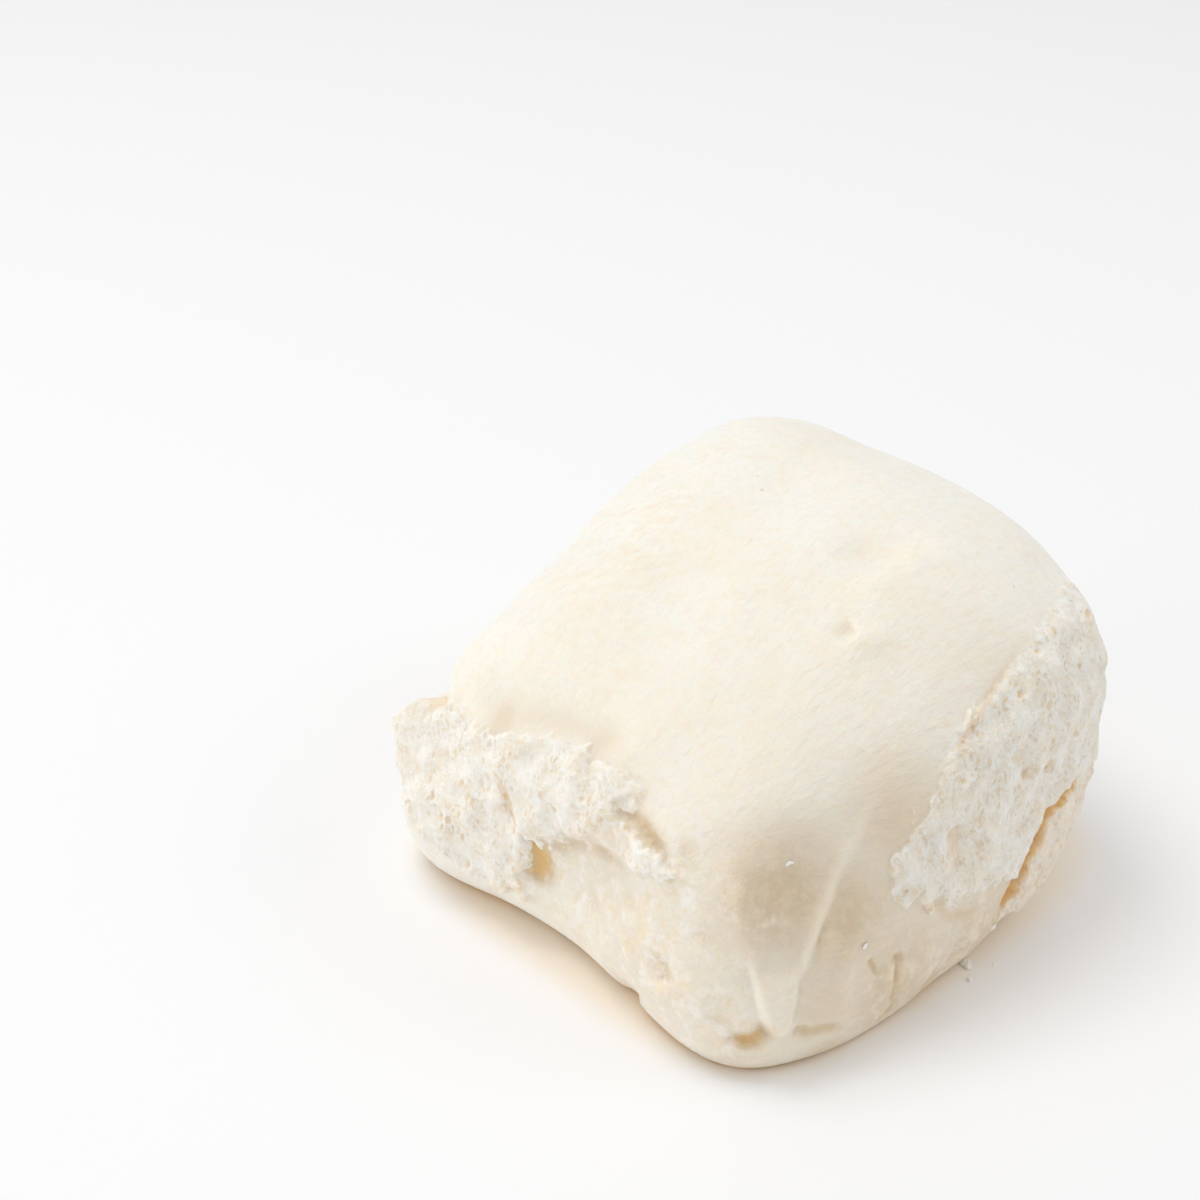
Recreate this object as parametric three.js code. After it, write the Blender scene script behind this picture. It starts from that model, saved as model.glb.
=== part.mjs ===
// Steamed bun: one soft white bun pulled from a batch that was steamed side by side.
// The crust is a smooth domed skin that droops to a tongue over the front corner. Each side
// that touched a neighbour is torn, and shows raised cottony crumb with lobes, pits and a crack.
// Units are millimetres, +Z is up, and the origin is at the bottom centre of the bun.

import * as THREE from 'three';

// ---------------------------------------------------------------- driving dimensions
const HALF_X = 36.7;
const HALF_Y = 39.3;
const CROWN_HEIGHT = 46.8;
const WAIST_HEIGHT = 18.6;
const SUNK_BELOW_BASE = 5.2;
const LEAN_X = -0.02;
const LEAN_Y = 0.17;
const PLAN_SQUARENESS = 5.3;
const PROFILE_SQUARENESS = 3.25;
const LUMP_SPREAD = 17;

// How long a triangle's edge may be on each kind of surface.
const BASE_EDGE = 14;
const SKIN_EDGE = 6.4;
const CRUMB_EDGE = 2.4;
const HIDDEN_CRUMB_EDGE = 3.3;
const STROKE_EDGE_PER_WIDTH = 1.35;
const SHORTEST_EDGE = 1.5;
const STROKE_REACH = 2;
const AREA_MARGIN = 2.8;
const START_DIVISIONS = 6;
const REFINING_PASSES = 7;

// The crumb's own unevenness: tufts of this wavelength and height.
const TUFT_WAVE = 7;
const TUFT_HEIGHT = 0.55;
const RAGGED_WAVE = 5.5;
const SKIN_WAVE = 21;
const SKIN_UNEVENNESS = 0.22;
const WAVES = 24;
const SLOWEST_WAVE = 0.5;
const WAVE_SPREAD = 1.1;
const SEED = 20417;
const RANDOM_FACTOR = 48271;
const RANDOM_MODULUS = 2147483647;
const CRUST_COLOUR = 0xf3ead8;
const CRUST_ROUGHNESS = 0.62;

// Past this many widths a ridge or groove no longer counts, and each corner is rounded by this many points.
const BELL_REACH = 4;
const POINTS_PER_CORNER = 4;

// Broad swellings and hollows of the whole bun: where each is, and how far it moves the skin.
const LUMPS = [
  { at: [-35, -37, 26], rise: -5.4 },
  { at: [31, -33, 26], rise: -3.9 },
  { at: [37, 12, 37], rise: 3.9 },
  { at: [-31, 33, 35], rise: 4.6 },
  { at: [-9, -39, 5], rise: -2.6 },
  { at: [35, -37, 0], rise: 7.2 },
  { at: [37, -4, 2], rise: 4.3 },
  { at: [-35, -37, 5], rise: 9 },
  { at: [4, 14, 47], rise: 4.0 },
  { at: [-37, 8, 28], rise: 1.2 },
  { at: [7, 39, 37], rise: 6.3 },
  { at: [-29, 22, 44], rise: 4.4 },
  { at: [36, 38, 24], rise: -1 },
];

// Torn faces and hollows. An outline gives the place along the side and the height of each
// of its corners. Along means x on the -y and +y sides, and y on the -x and +x sides.
const LEFT_TEAR = [
  [-50, 22], [-33, 25], [-24, 30], [-14, 33], [-3, 35], [8, 35], [14, 33], [11, 30.5],
  [17, 27.5], [16, 25], [9, 25.5], [5, 26], [1, 23], [-4, 19], [-5, 12], [-8, 4], [-24, -4], [-50, -4],
];
const RIGHT_TEAR = [
  [50, 45], [24, 46], [12, 44], [2, 40.5], [-6, 34], [-13, 28], [-15, 23], [-10, 20],
  [-4, 16], [5, 16], [10, 15.5], [17, 19.5], [24, 23], [28, 19], [50, 20],
];
const RIGHT_STRIP = [[33, 17], [25, 17.5], [18, 16.5], [12, 13], [7, 10], [10, 6], [20, 5], [33, 8]];
const BACK_TEAR = [
  [-21, 12], [-18, 24], [-9, 31], [4, 34], [18, 31], [27, 22], [24, 10], [8, 6], [-12, 5],
];
const FAR_TEAR = [
  [-24, 14], [-27, 27], [-14, 37], [2, 40], [20, 38], [29, 27], [25, 12], [9, 7], [-12, 9],
];

const AREAS = [
  { side: '-y', outline: LEFT_TEAR, rise: 0.8, edge: 1.4, ragged: 1.1 },
  { side: '+x', outline: RIGHT_TEAR, rise: 0.5, edge: 1.4, ragged: 1.1 },
  { side: '+x', outline: RIGHT_STRIP, rise: 0.4, edge: 1.4, ragged: 0.8 },
  { side: '-x', outline: BACK_TEAR, rise: 0.7, edge: 1.8, ragged: 1.5, hidden: true },
  { side: '+y', outline: FAR_TEAR, rise: 0.7, edge: 1.8, ragged: 1.5, hidden: true },
];
// A side's areas only reach the points at least this far out along its axis, and fade in there.
const SIDE_REACH = 25;
const SIDE_FADE = 4;

// Ridges and grooves. A path of one point is a bump or a dimple.
const STROKES = [
  // the lip of crumb that stands out at the left corner, and the notch behind it
  { path: [[-35, -34, 22.5], [-36, -36, 18]], width: 4, rise: 3 },
  { path: [[-32, -31, 27], [-30, -33, 28]], width: 1.8, rise: -2.4 },
  // the crease between the two lobes of the left tear, and the pit at its foot
  { path: [[-13.5, -36, 25], [-12, -36.7, 22], [-10, -37, 19], [-8, -37.5, 14]], width: 1.5, rise: -1.5 },
  { path: [[-4.5, -37, 17], [-4, -37, 13], [-4, -37, 10]], width: 2.2, rise: -3.6 },
  // the hollow that the right lobe's flap hangs over
  { path: [[-1, -37, 14], [4, -37, 19], [10, -37, 20.5]], width: 4, rise: -1.6 },
  { path: [[-3, -37, 19], [2, -37, 22], [6, -36.8, 24.3], [11, -37, 23.6], [15, -37, 22.5]],
    width: 1.4, rise: -1.4 },
  { path: [[-23, -36, 17]], width: 7, rise: 1.3 },
  { path: [[1, -36, 28]], width: 5.5, rise: 1.1 },
  // the valley where the skin turns in above the left tear, and the cleft at its right
  { path: [[-22, -33, 31], [-14, -31.5, 35], [-3, -30.5, 37.5], [8, -31, 37.5]], width: 2.4, rise: -1.1 },
  { path: [[9, -34.5, 32], [13, -35.5, 30], [18, -36.5, 27]], width: 1.3, rise: -2 },
  // a dent and a flaky ridge low on the left side
  { path: [[19.7, -38, 20], [22.4, -39.3, 12]], width: 2, rise: -0.9 },
  { path: [[17.5, -39.2, 10], [24, -39.5, 10]], width: 1.2, rise: 0.6 },
  // the tongue of skin over the front corner: two welts, the valley between them, and its tip
  { path: [[25, -34.4, 30], [29.6, -34, 26.6], [32, -34.3, 20], [33.7, -34.5, 15.4], [35.8, -33.8, 9.5]],
    width: 1.4, rise: 1.4 },
  { path: [[34, -1, 41.5], [34.8, -12, 36], [35.2, -20, 30], [35.6, -25, 24.3], [36.5, -29.2, 16],
      [37, -31, 9.5]],
    width: 1.4, rise: 1.4 },
  { path: [[31, -29, 31], [34.5, -28.5, 25], [35, -31, 19]], width: 3.6, rise: -2 },
  { path: [[36, -32.5, 9.5]], width: 2.3, rise: 1.4 },
  { path: [[32.2, -36.5, 8], [35.6, -34.2, 7.6]], width: 1.5, rise: -3 },
  { path: [[38.5, -29, 7], [40, -24, 5.5], [41, -17, 4.5]], width: 1.6, rise: -1 },
  // the undercut above the right tear
  { path: [[31, 24, 47.5], [34, 12, 45.5], [36, 2, 41.5], [37.5, -6.5, 35.5], [37.5, -13.5, 29.5],
      [38, -16, 24]],
    width: 1.7, rise: -1.3 },
  // the crack low in the right tear, and the hollow in its crumb
  { path: [[38.8, 27, 23], [39.8, 20, 20.5], [40.6, 13, 17.5], [41, 8, 13.5], [41, 6, 10]],
    width: 1.35, rise: -3.8 },
  { path: [[39.5, -3.4, 29], [40.6, -3, 21]], width: 1.8, rise: -1.6 },
  { path: [[40.2, 17, 28.4]], width: 1.4, rise: -1.6 },
  // pleats low on the right side, and a scar beside them
  { path: [[40.1, -13.6, 13.5], [40.3, -13.4, 9], [39.6, -14.3, 4]], width: 1.1, rise: -1 },
  { path: [[40.3, -16.5, 12], [40.4, -16.5, 7]], width: 1.8, rise: 0.8 },
  { path: [[37.4, -17.4, 25], [38.6, -21.9, 15], [38.9, -24.3, 9.3]], width: 1.2, rise: -0.6 },
  { path: [[39.4, -18.4, 14]], width: 1.2, rise: -1.3 },
  // the small bumps and dimples of the skin on top
  { path: [[11.5, 9, 52.5]], width: 3.2, rise: -1.1 },
  { path: [[15, 7.5, 51.7], [17, 18, 52.9]], width: 2.4, rise: 0.6 },
  { path: [[19.8, -1.5, 48.3]], width: 2.4, rise: 0.8 },
  { path: [[25.3, 32.7, 47.6]], width: 4, rise: -1.2 },
];

// ---------------------------------------------------------------- small maths
function randomNumbers(seed) {
  let state = seed;
  return () => {
    state = (state * RANDOM_FACTOR) % RANDOM_MODULUS;
    return state / RANDOM_MODULUS;
  };
}

// Smooth unevenness: a sum of sine waves that run in seeded directions.
function makeWaves(seed, wavelength) {
  const random = randomNumbers(seed);
  const waves = [];
  for (let i = 0; i < WAVES; i++) {
    const up = 2 * random() - 1;
    const turn = 2 * Math.PI * random();
    const flat = Math.sqrt(1 - up * up);
    const rate = (2 * Math.PI / wavelength) * (SLOWEST_WAVE + WAVE_SPREAD * random());
    const direction = new THREE.Vector3(flat * Math.cos(turn), flat * Math.sin(turn), up);
    waves.push({ vector: direction.multiplyScalar(rate), phase: 2 * Math.PI * random() });
  }
  const scale = Math.sqrt(2 / WAVES);
  return (p) => scale * waves.reduce((sum, w) => sum + Math.sin(w.vector.dot(p) + w.phase), 0);
}

const tufts = makeWaves(SEED, TUFT_WAVE);
const raggedAlong = makeWaves(SEED + 1, RAGGED_WAVE);
const raggedUp = makeWaves(SEED + 2, RAGGED_WAVE);
const skinWaves = makeWaves(SEED + 3, SKIN_WAVE);

function bell(distance, width) {
  return Math.exp(-(distance * distance) / (2 * width * width));
}

function smoothCurve(points) {
  if (points.length < 3) return points;
  return new THREE.CatmullRomCurve3(points).getPoints(POINTS_PER_CORNER * points.length);
}

function distanceToPath(p, points) {
  if (points.length === 1) return p.distanceTo(points[0]);
  let nearest = Infinity;
  const segment = new THREE.Line3();
  const foot = new THREE.Vector3();
  for (let i = 1; i < points.length; i++) {
    segment.set(points[i - 1], points[i]);
    segment.closestPointToPoint(p, true, foot);
    nearest = Math.min(nearest, foot.distanceTo(p));
  }
  return nearest;
}

// How deep a flat point lies inside a closed outline; negative outside it.
function depthInside(along, up, outline) {
  let nearest = Infinity;
  let inside = false;
  for (let i = 0; i < outline.length; i++) {
    const a = outline[i];
    const b = outline[(i + 1) % outline.length];
    const stepX = b.x - a.x;
    const stepY = b.y - a.y;
    const share = ((along - a.x) * stepX + (up - a.y) * stepY) / (stepX * stepX + stepY * stepY);
    const t = THREE.MathUtils.clamp(share, 0, 1);
    nearest = Math.min(nearest, Math.hypot(a.x + t * stepX - along, a.y + t * stepY - up));
    if ((a.y > up) !== (b.y > up) && along < a.x + ((up - a.y) * stepX) / stepY) inside = !inside;
  }
  return inside ? nearest : -nearest;
}

// ---------------------------------------------------------------- the bun's form
const heart = new THREE.Vector3(0, 0, WAIST_HEIGHT);

// The plain cushion: a rounded box about the heart, leaning up towards +y, with its lumps.
function cushion(direction) {
  const above = direction.z >= 0;
  const halfHeight = above ? CROWN_HEIGHT - WAIST_HEIGHT : WAIST_HEIGHT + SUNK_BELOW_BASE;
  const across = Math.abs(direction.x / HALF_X) ** PLAN_SQUARENESS;
  const plan = across + Math.abs(direction.y / HALF_Y) ** PLAN_SQUARENESS;
  const upright = Math.abs(direction.z / halfHeight) ** PROFILE_SQUARENESS;
  const size = (plan ** (PROFILE_SQUARENESS / PLAN_SQUARENESS) + upright) ** (1 / PROFILE_SQUARENESS);
  const p = direction.clone().divideScalar(size);
  if (above) p.z *= 1 + (LEAN_X * p.x) / HALF_X + (LEAN_Y * p.y) / HALF_Y;
  const outward = p.clone().normalize();
  p.add(heart);
  for (const lump of LUMPS) {
    p.addScaledVector(outward, lump.rise * bell(p.distanceTo(lump.centre), LUMP_SPREAD));
  }
  return p;
}

const SIDES = {
  '-y': { along: (p) => p.x, out: (p) => -p.y },
  '+y': { along: (p) => p.x, out: (p) => p.y },
  '-x': { along: (p) => p.y, out: (p) => -p.x },
  '+x': { along: (p) => p.y, out: (p) => p.x },
};

for (const lump of LUMPS) lump.centre = new THREE.Vector3(...lump.at);
for (const stroke of STROKES) stroke.points = smoothCurve(stroke.path.map((p) => new THREE.Vector3(...p)));
for (const area of AREAS) {
  const corners = area.outline.map(([along, up]) => new THREE.Vector3(along, up, 0));
  const curve = new THREE.CatmullRomCurve3(corners, true, 'centripetal');
  area.curve = curve.getPoints(POINTS_PER_CORNER * corners.length);
  area.curve.pop();
}

// How far inside an area's ragged edge a point on the cushion lies, as a share from 0 to 1.
function shareOfArea(p, area) {
  const side = SIDES[area.side];
  const out = side.out(p);
  if (out < SIDE_REACH) return 0;
  const along = side.along(p) + area.ragged * raggedAlong(p);
  const up = p.z + area.ragged * raggedUp(p);
  const depth = depthInside(along, up, area.curve);
  const reach = THREE.MathUtils.smoothstep(out, SIDE_REACH, SIDE_REACH + SIDE_FADE);
  return reach * THREE.MathUtils.smoothstep(depth, -area.edge, area.edge);
}

function relief(p) {
  let rise = SKIN_UNEVENNESS * skinWaves(p);
  for (const area of AREAS) {
    const share = shareOfArea(p, area);
    if (share > 0) rise += share * (area.rise + TUFT_HEIGHT * tufts(p));
  }
  for (const stroke of STROKES) {
    const distance = distanceToPath(p, stroke.points);
    if (distance < BELL_REACH * stroke.width) rise += stroke.rise * bell(distance, stroke.width);
  }
  return rise;
}

// ---------------------------------------------------------------- the mesh
// The longest edge that suits a place: short on crumb and across ridges, long on plain skin.
function longestEdge(p) {
  if (p.z < 0) return BASE_EDGE;
  let edge = SKIN_EDGE;
  for (const area of AREAS) {
    const side = SIDES[area.side];
    if (side.out(p) < SIDE_REACH) continue;
    const near = depthInside(side.along(p), p.z, area.curve) > -AREA_MARGIN;
    if (near) edge = Math.min(edge, area.hidden ? HIDDEN_CRUMB_EDGE : CRUMB_EDGE);
  }
  for (const stroke of STROKES) {
    const fine = Math.max(SHORTEST_EDGE, STROKE_EDGE_PER_WIDTH * stroke.width);
    if (fine < edge && distanceToPath(p, stroke.points) < STROKE_REACH * stroke.width) edge = fine;
  }
  return edge;
}

// A cube's faces as triangles of directions, eased so that they are even over a ball.
function startingMesh() {
  const cube = new THREE.BoxGeometry(2, 2, 2, START_DIVISIONS, START_DIVISIONS, START_DIVISIONS);
  const place = cube.attributes.position;
  const known = new Map();
  const directions = [];
  const corner = [];
  for (let i = 0; i < place.count; i++) {
    const p = new THREE.Vector3().fromBufferAttribute(place, i);
    const key = p.toArray().map((v) => v.toFixed(3)).join();
    if (!known.has(key)) {
      known.set(key, directions.length);
      directions.push(new THREE.Vector3(...p.toArray().map((v) => Math.tan((v * Math.PI) / 4))).normalize());
    }
    corner.push(known.get(key));
  }
  const triangles = [];
  for (let i = 0; i < cube.index.count; i += 3) {
    triangles.push([0, 1, 2].map((k) => corner[cube.index.getX(i + k)]));
  }
  return { directions, triangles };
}

// Splits every edge that is too long, together with the triangles that share it.
function refine(mesh, points) {
  const middles = new Map();
  function middleOf(a, b) {
    const key = a < b ? `${a},${b}` : `${b},${a}`;
    if (!middles.has(key)) {
      const middle = points[a].clone().add(points[b]).multiplyScalar(0.5);
      let index = -1;
      if (points[a].distanceTo(points[b]) > longestEdge(middle)) {
        index = mesh.directions.length;
        mesh.directions.push(mesh.directions[a].clone().add(mesh.directions[b]).normalize());
      }
      middles.set(key, index);
    }
    return middles.get(key);
  }
  const finer = [];
  for (const [a, b, c] of mesh.triangles) {
    const corners = [a, b, c];
    const cuts = [middleOf(a, b), middleOf(b, c), middleOf(c, a)];
    const count = cuts.filter((m) => m >= 0).length;
    if (count === 0) finer.push(corners);
    if (count === 1) {
      const k = cuts.findIndex((m) => m >= 0);
      const [p, q, r] = [corners[k], corners[(k + 1) % 3], corners[(k + 2) % 3]];
      finer.push([p, cuts[k], r], [cuts[k], q, r]);
    }
    if (count === 2) {
      const k = cuts.findIndex((m) => m < 0);
      const [p, q, r] = [corners[k], corners[(k + 1) % 3], corners[(k + 2) % 3]];
      const [near, far] = [cuts[(k + 1) % 3], cuts[(k + 2) % 3]];
      finer.push([near, r, far], [p, q, near], [p, near, far]);
    }
    if (count === 3) {
      finer.push([a, cuts[0], cuts[2]], [cuts[0], b, cuts[1]], [cuts[2], cuts[1], c], cuts);
    }
  }
  mesh.triangles = finer;
}

function normalsOf(points, triangles) {
  const normals = points.map(() => new THREE.Vector3());
  const flat = new THREE.Triangle();
  const facing = new THREE.Vector3();
  for (const [a, b, c] of triangles) {
    flat.set(points[a], points[b], points[c]);
    flat.getNormal(facing).multiplyScalar(flat.getArea());
    for (const i of [a, b, c]) normals[i].add(facing);
  }
  return normals.map((n) => n.normalize());
}

function makeBun() {
  const mesh = startingMesh();
  let points = mesh.directions.map(cushion);
  for (let pass = 0; pass < REFINING_PASSES; pass++) {
    refine(mesh, points);
    points = mesh.directions.map((d, i) => points[i] ?? cushion(d));
  }
  const normals = normalsOf(points, mesh.triangles);
  const surface = points.map((p, i) => {
    const moved = p.clone().addScaledVector(normals[i], relief(p));
    moved.z = Math.max(moved.z, 0);
    return moved;
  });
  const geometry = new THREE.BufferGeometry().setFromPoints(surface);
  geometry.setIndex(mesh.triangles.flat());
  geometry.computeBoundingBox();
  const middle = geometry.boundingBox.getCenter(new THREE.Vector3());
  geometry.translate(-middle.x, -middle.y, 0);
  geometry.computeVertexNormals();
  const looks = { color: CRUST_COLOUR, roughness: CRUST_ROUGHNESS, metalness: 0 };
  const crust = new THREE.MeshStandardMaterial(looks);
  const bun = new THREE.Mesh(geometry, crust);
  bun.name = 'bun';
  return bun;
}

const part = new THREE.Group();
part.add(makeBun());

export default part;
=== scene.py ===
"""Steamed bun: one soft white bun pulled from its batch, with torn cottony sides.

Lengths in the lists below are millimetres in the bun's own frame: +Z up, the torn side with
the hollow towards -Y, the torn side with the crack towards +X. They become metres in the mesh.
"""

import math
from types import SimpleNamespace

import bpy
import numpy as np
from bpy.props import FloatProperty, FloatVectorProperty, IntProperty, PointerProperty
from mathutils import Matrix, Vector


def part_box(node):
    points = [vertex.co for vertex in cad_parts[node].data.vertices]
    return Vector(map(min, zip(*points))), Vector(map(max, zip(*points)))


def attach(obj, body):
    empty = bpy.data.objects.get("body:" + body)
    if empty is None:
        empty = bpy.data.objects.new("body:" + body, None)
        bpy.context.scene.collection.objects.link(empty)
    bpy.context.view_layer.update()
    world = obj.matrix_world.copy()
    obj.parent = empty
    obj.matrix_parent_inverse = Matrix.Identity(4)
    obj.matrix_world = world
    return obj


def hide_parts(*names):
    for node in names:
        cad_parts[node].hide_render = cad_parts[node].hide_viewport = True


bl_info = {
    "name": "Steamed bun",
    "version": (1, 0, 0),
    "blender": (4, 5, 0),
    "location": "3D View > Sidebar > Bun",
    "description": "Builds a torn steamed bun around its packed solid",
    "category": "Object",
}

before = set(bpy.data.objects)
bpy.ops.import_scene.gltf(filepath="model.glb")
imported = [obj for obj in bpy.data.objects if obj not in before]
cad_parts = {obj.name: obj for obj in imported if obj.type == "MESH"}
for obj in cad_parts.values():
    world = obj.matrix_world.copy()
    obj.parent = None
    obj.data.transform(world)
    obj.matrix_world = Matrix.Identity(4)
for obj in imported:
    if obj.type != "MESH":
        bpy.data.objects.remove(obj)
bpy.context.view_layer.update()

MM = 0.001

# -------------------- the camera and the lamps
# Where the camera is and what it looks at, in millimetres in the bun's own frame.
CAMERA_AT = (190.0, -214.5, 216.9)
CAMERA_AIM = (-67.1, 34.2, 0)
CAMERA_ROLL = -0.88
LENS = 72
SENSOR = 36
CLIP_START = 0.01
# The place in the bun's own frame, along x and y, that lies at the scene's origin.
FRAME_MIDDLE = (-0.38, 2.87)

# Round soft lamps a metre away: degrees to the right of the camera, and degrees up.
LAMPS = {"key": (-110, 70), "side": (-75, 8), "fill": (90, 42)}
LAMP_SIZE = 0.55
LAMPS_AIM = (0, 0, 0.02)

# Half the bun's foot each way, in metres, and its glow on the floor, warm light and shade painted
# round its foot: the squared distances, in halves of the foot, at which it begins to fade and
# ends, and how strong it is.
FOOT_HALF_X = 0.038
FOOT_HALF_Y = 0.041
GLOW_FULL = 0.92
GLOW_END = 1.28
GLOW_STRENGTH = 0.62

# -------------------- the bun's form, in millimetres
HALF_X = 36.7
HALF_Y = 39.3
CROWN_HEIGHT = 46.8
WAIST_HEIGHT = 18.6
SUNK_BELOW_BASE = 5.2
LEAN_X = -0.02
LEAN_Y = 0.17
PLAN_SQUARENESS = 5.3
PROFILE_SQUARENESS = 3.25
LUMP_SPREAD = 17

# Seeded waves: the tufts of the crumb, the uneven edges of the tears, and the skin's swells.
SEED = 20417
MULTIPLIER = 48271
MODULUS = 2147483647
WAVES = 24
LEAST_RATE = 0.5
MORE_RATE = 1.1
TUFT_WAVE = 7
TUFT_HEIGHT = 0.3
RAGGED_WAVE = 5.5
FRAYED_WAVE = 1.7
FRAYED_SHARE = 0.25
RIM_WIDTH = 0.9
TORN_FADE = 0.7
SKIN_WAVE = 21
SKIN_UNEVENNESS = 0.22

# How long a triangle's edge may be on each kind of surface.
START_DIVISIONS = 7
REFINING_PASSES = 11
BASE_EDGE = 7
SKIN_EDGE = 3
FOOT_EDGE = 1.8
FOOT_HEIGHT = 3
CRUMB_EDGE = 0.4
HIDDEN_CRUMB_EDGE = 0.84
EDGE_PER_WIDTH = 0.65
SHORTEST_EDGE = 0.42

# How far areas and strokes are looked for, in millimetres or in a stroke's own widths.
STROKE_WIDTHS = 2
BELL_WIDTHS = 4
AREA_MARGIN = 0.9
AREA_REACH = 4
SIDE_REACH = 25
SIDE_FADE = 4

# How finely paths are followed, and how their points are brought to the skin.
POINTS_PER_CORNER = 4
SMALLEST_GAP = 1e-6
SKIN_PASSES = 4
SIGHT_PASSES = 5
LONGEST_STEP = 3
EDGE_ON = -0.4

# Broad swellings and hollows: a place, and how far it moves the skin.
LUMPS = [
    ((-35, -37, 26), -5.4),
    ((31, -33, 26), -3.9),
    ((37, 12, 37), 3.9),
    ((-31, 33, 35), 4.6),
    ((-9, -39, 5), -2.6),
    ((35, -37, 0), 7.2),
    ((37, -4, 2), 4.3),
    ((-35, -37, 5), 9.0),
    ((4, 14, 47), 4.0),
    ((-37, 8, 28), 1.2),
    ((7, 39, 37), 6.3),
    ((-29, 22, 44), 4.4),
    ((36, 38, 24), -1.0),
]


def area(side, outline, **more):
    """A torn face: its side, its outline, how far it rises, how soft and ragged its edge is, how
    long its triangles' edges are, how far its rim stands out and how warm its painted shade is."""
    usual = {"mesh": CRUMB_EDGE, "rim": 0, "warm": 0}
    return SimpleNamespace(side=side, outline=outline, **{**usual, **more})


def stroke(path, width, rise, **more):
    """A ridge or a groove: a path, its half width, or that at its start and at its end, how far it
    rises, the shares of its length over which it grows and dies away, how far it leans from the
    surface's own direction, which undercuts its edge, how ragged it is, and how warm its painted
    shade is over its own half width or another. A stain is the same for skin alone, browner skin
    and painted shade in one: below 0 it pales other stains, from 0 to 1 it is browner, and up to 2
    an orange painted shade. One with an edge is a pad, flat across but for an edge so wide."""
    usual = {"fade": (0, 0), "lean": (0, 0, 0), "edge": 0, "ragged": 0, "warm": 0,
             "warm_width": 0, "stain": 0, "stain_width": 0}
    return SimpleNamespace(path=path, width=width, rise=rise, **{**usual, **more})


def left(y, *places):
    """A path on the side that faces -y, so far out, through places along it and their heights."""
    return [(x, y, z) for x, z in places]


def right(x, *places):
    """The same on the side that faces +x."""
    return [(x, y, z) for y, z in places]


# Torn faces, as outlines of (place along the side, height).
LEFT_TEAR = [
    (-50, 22), (-33, 25), (-24.6, 29.2), (-17.8, 29.5), (-14, 31.2), (-9, 33), (-3, 34.7),
    (3.2, 35.2), (8, 35), (12.8, 34.2), (12.4, 32.5), (9.4, 31.6), (10.6, 30.4), (13, 29.5),
    (15.2, 29), (17.4, 28.6), (19.2, 28.4), (21.2, 27.8), (20.8, 26.3), (18.9, 25.3), (16.6, 24.6),
    (13.8, 23.7), (12.2, 24.1), (10, 25), (7.9, 26.2), (6, 25.7), (4.2, 23.3), (1.8, 22.9),
    (0, 24.2), (-1.6, 21), (-4.4, 17.4), (-6.4, 19), (-5.2, 15.2), (-6.8, 12.2), (-5.3, 10.2),
    (-6.4, 8.2), (-8.6, 8.6), (-10.6, 7), (-12.6, 7.6), (-14.8, 6.2), (-17, 7.1), (-19.6, 6.8),
    (-22, 8), (-25, 8.6), (-28, 10.4), (-31, 12.6), (-34, 14), (-50, 15),
]
RIGHT_TEAR = [
    (50, 45), (24, 46), (12, 44), (2, 40.5), (-6, 34), (-13, 28), (-15, 23), (-12.5, 20.4),
    (-10.5, 21.2), (-8.8, 18), (-6.4, 19.4), (-4.4, 15.6), (-2, 17), (5, 16), (8, 14.4),
    (10.8, 14.4), (14, 18.2), (17.4, 21.8), (24.3, 22.2), (29.5, 20.8), (50, 20),
]
RIGHT_STRIP = [
    (36, 17), (30, 19), (24.3, 20.4), (18.4, 19.8), (15.4, 16), (12.2, 12.4), (9.8, 9.6),
    (7.6, 8.8), (8, 7), (11.5, 5.6), (17, 5), (24, 5.5), (30, 8), (36, 12),
]
BACK_TEAR = [
    (-21, 12), (-18, 24), (-9, 31), (4, 34), (18, 31), (27, 22), (24, 10), (8, 6), (-12, 5),
]
FAR_TEAR = [
    (-24, 14), (-27, 27), (-14, 37), (2, 40), (20, 38), (29, 27), (25, 12), (9, 7), (-12, 9),
]

AREAS = [
    area("-y", LEFT_TEAR, rise=0.5, rim=0.3, edge=0.5, ragged=0.4),
    area("+x", RIGHT_TEAR, rise=0.3, rim=0.25, edge=0.6, ragged=0.35),
    # the lower strip has painted warm shade over its crumb
    area("+x", RIGHT_STRIP, rise=0.9, edge=0.9, ragged=0.3, warm=0.24),
    area("-x", BACK_TEAR, rise=0.7, edge=1.0, ragged=1.5, mesh=HIDDEN_CRUMB_EDGE),
    area("+y", FAR_TEAR, rise=0.7, edge=1.0, ragged=1.5, mesh=HIDDEN_CRUMB_EDGE),
]

# A stroke's warmth is painted warm shade; its stain is browner skin with painted shade.
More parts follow.
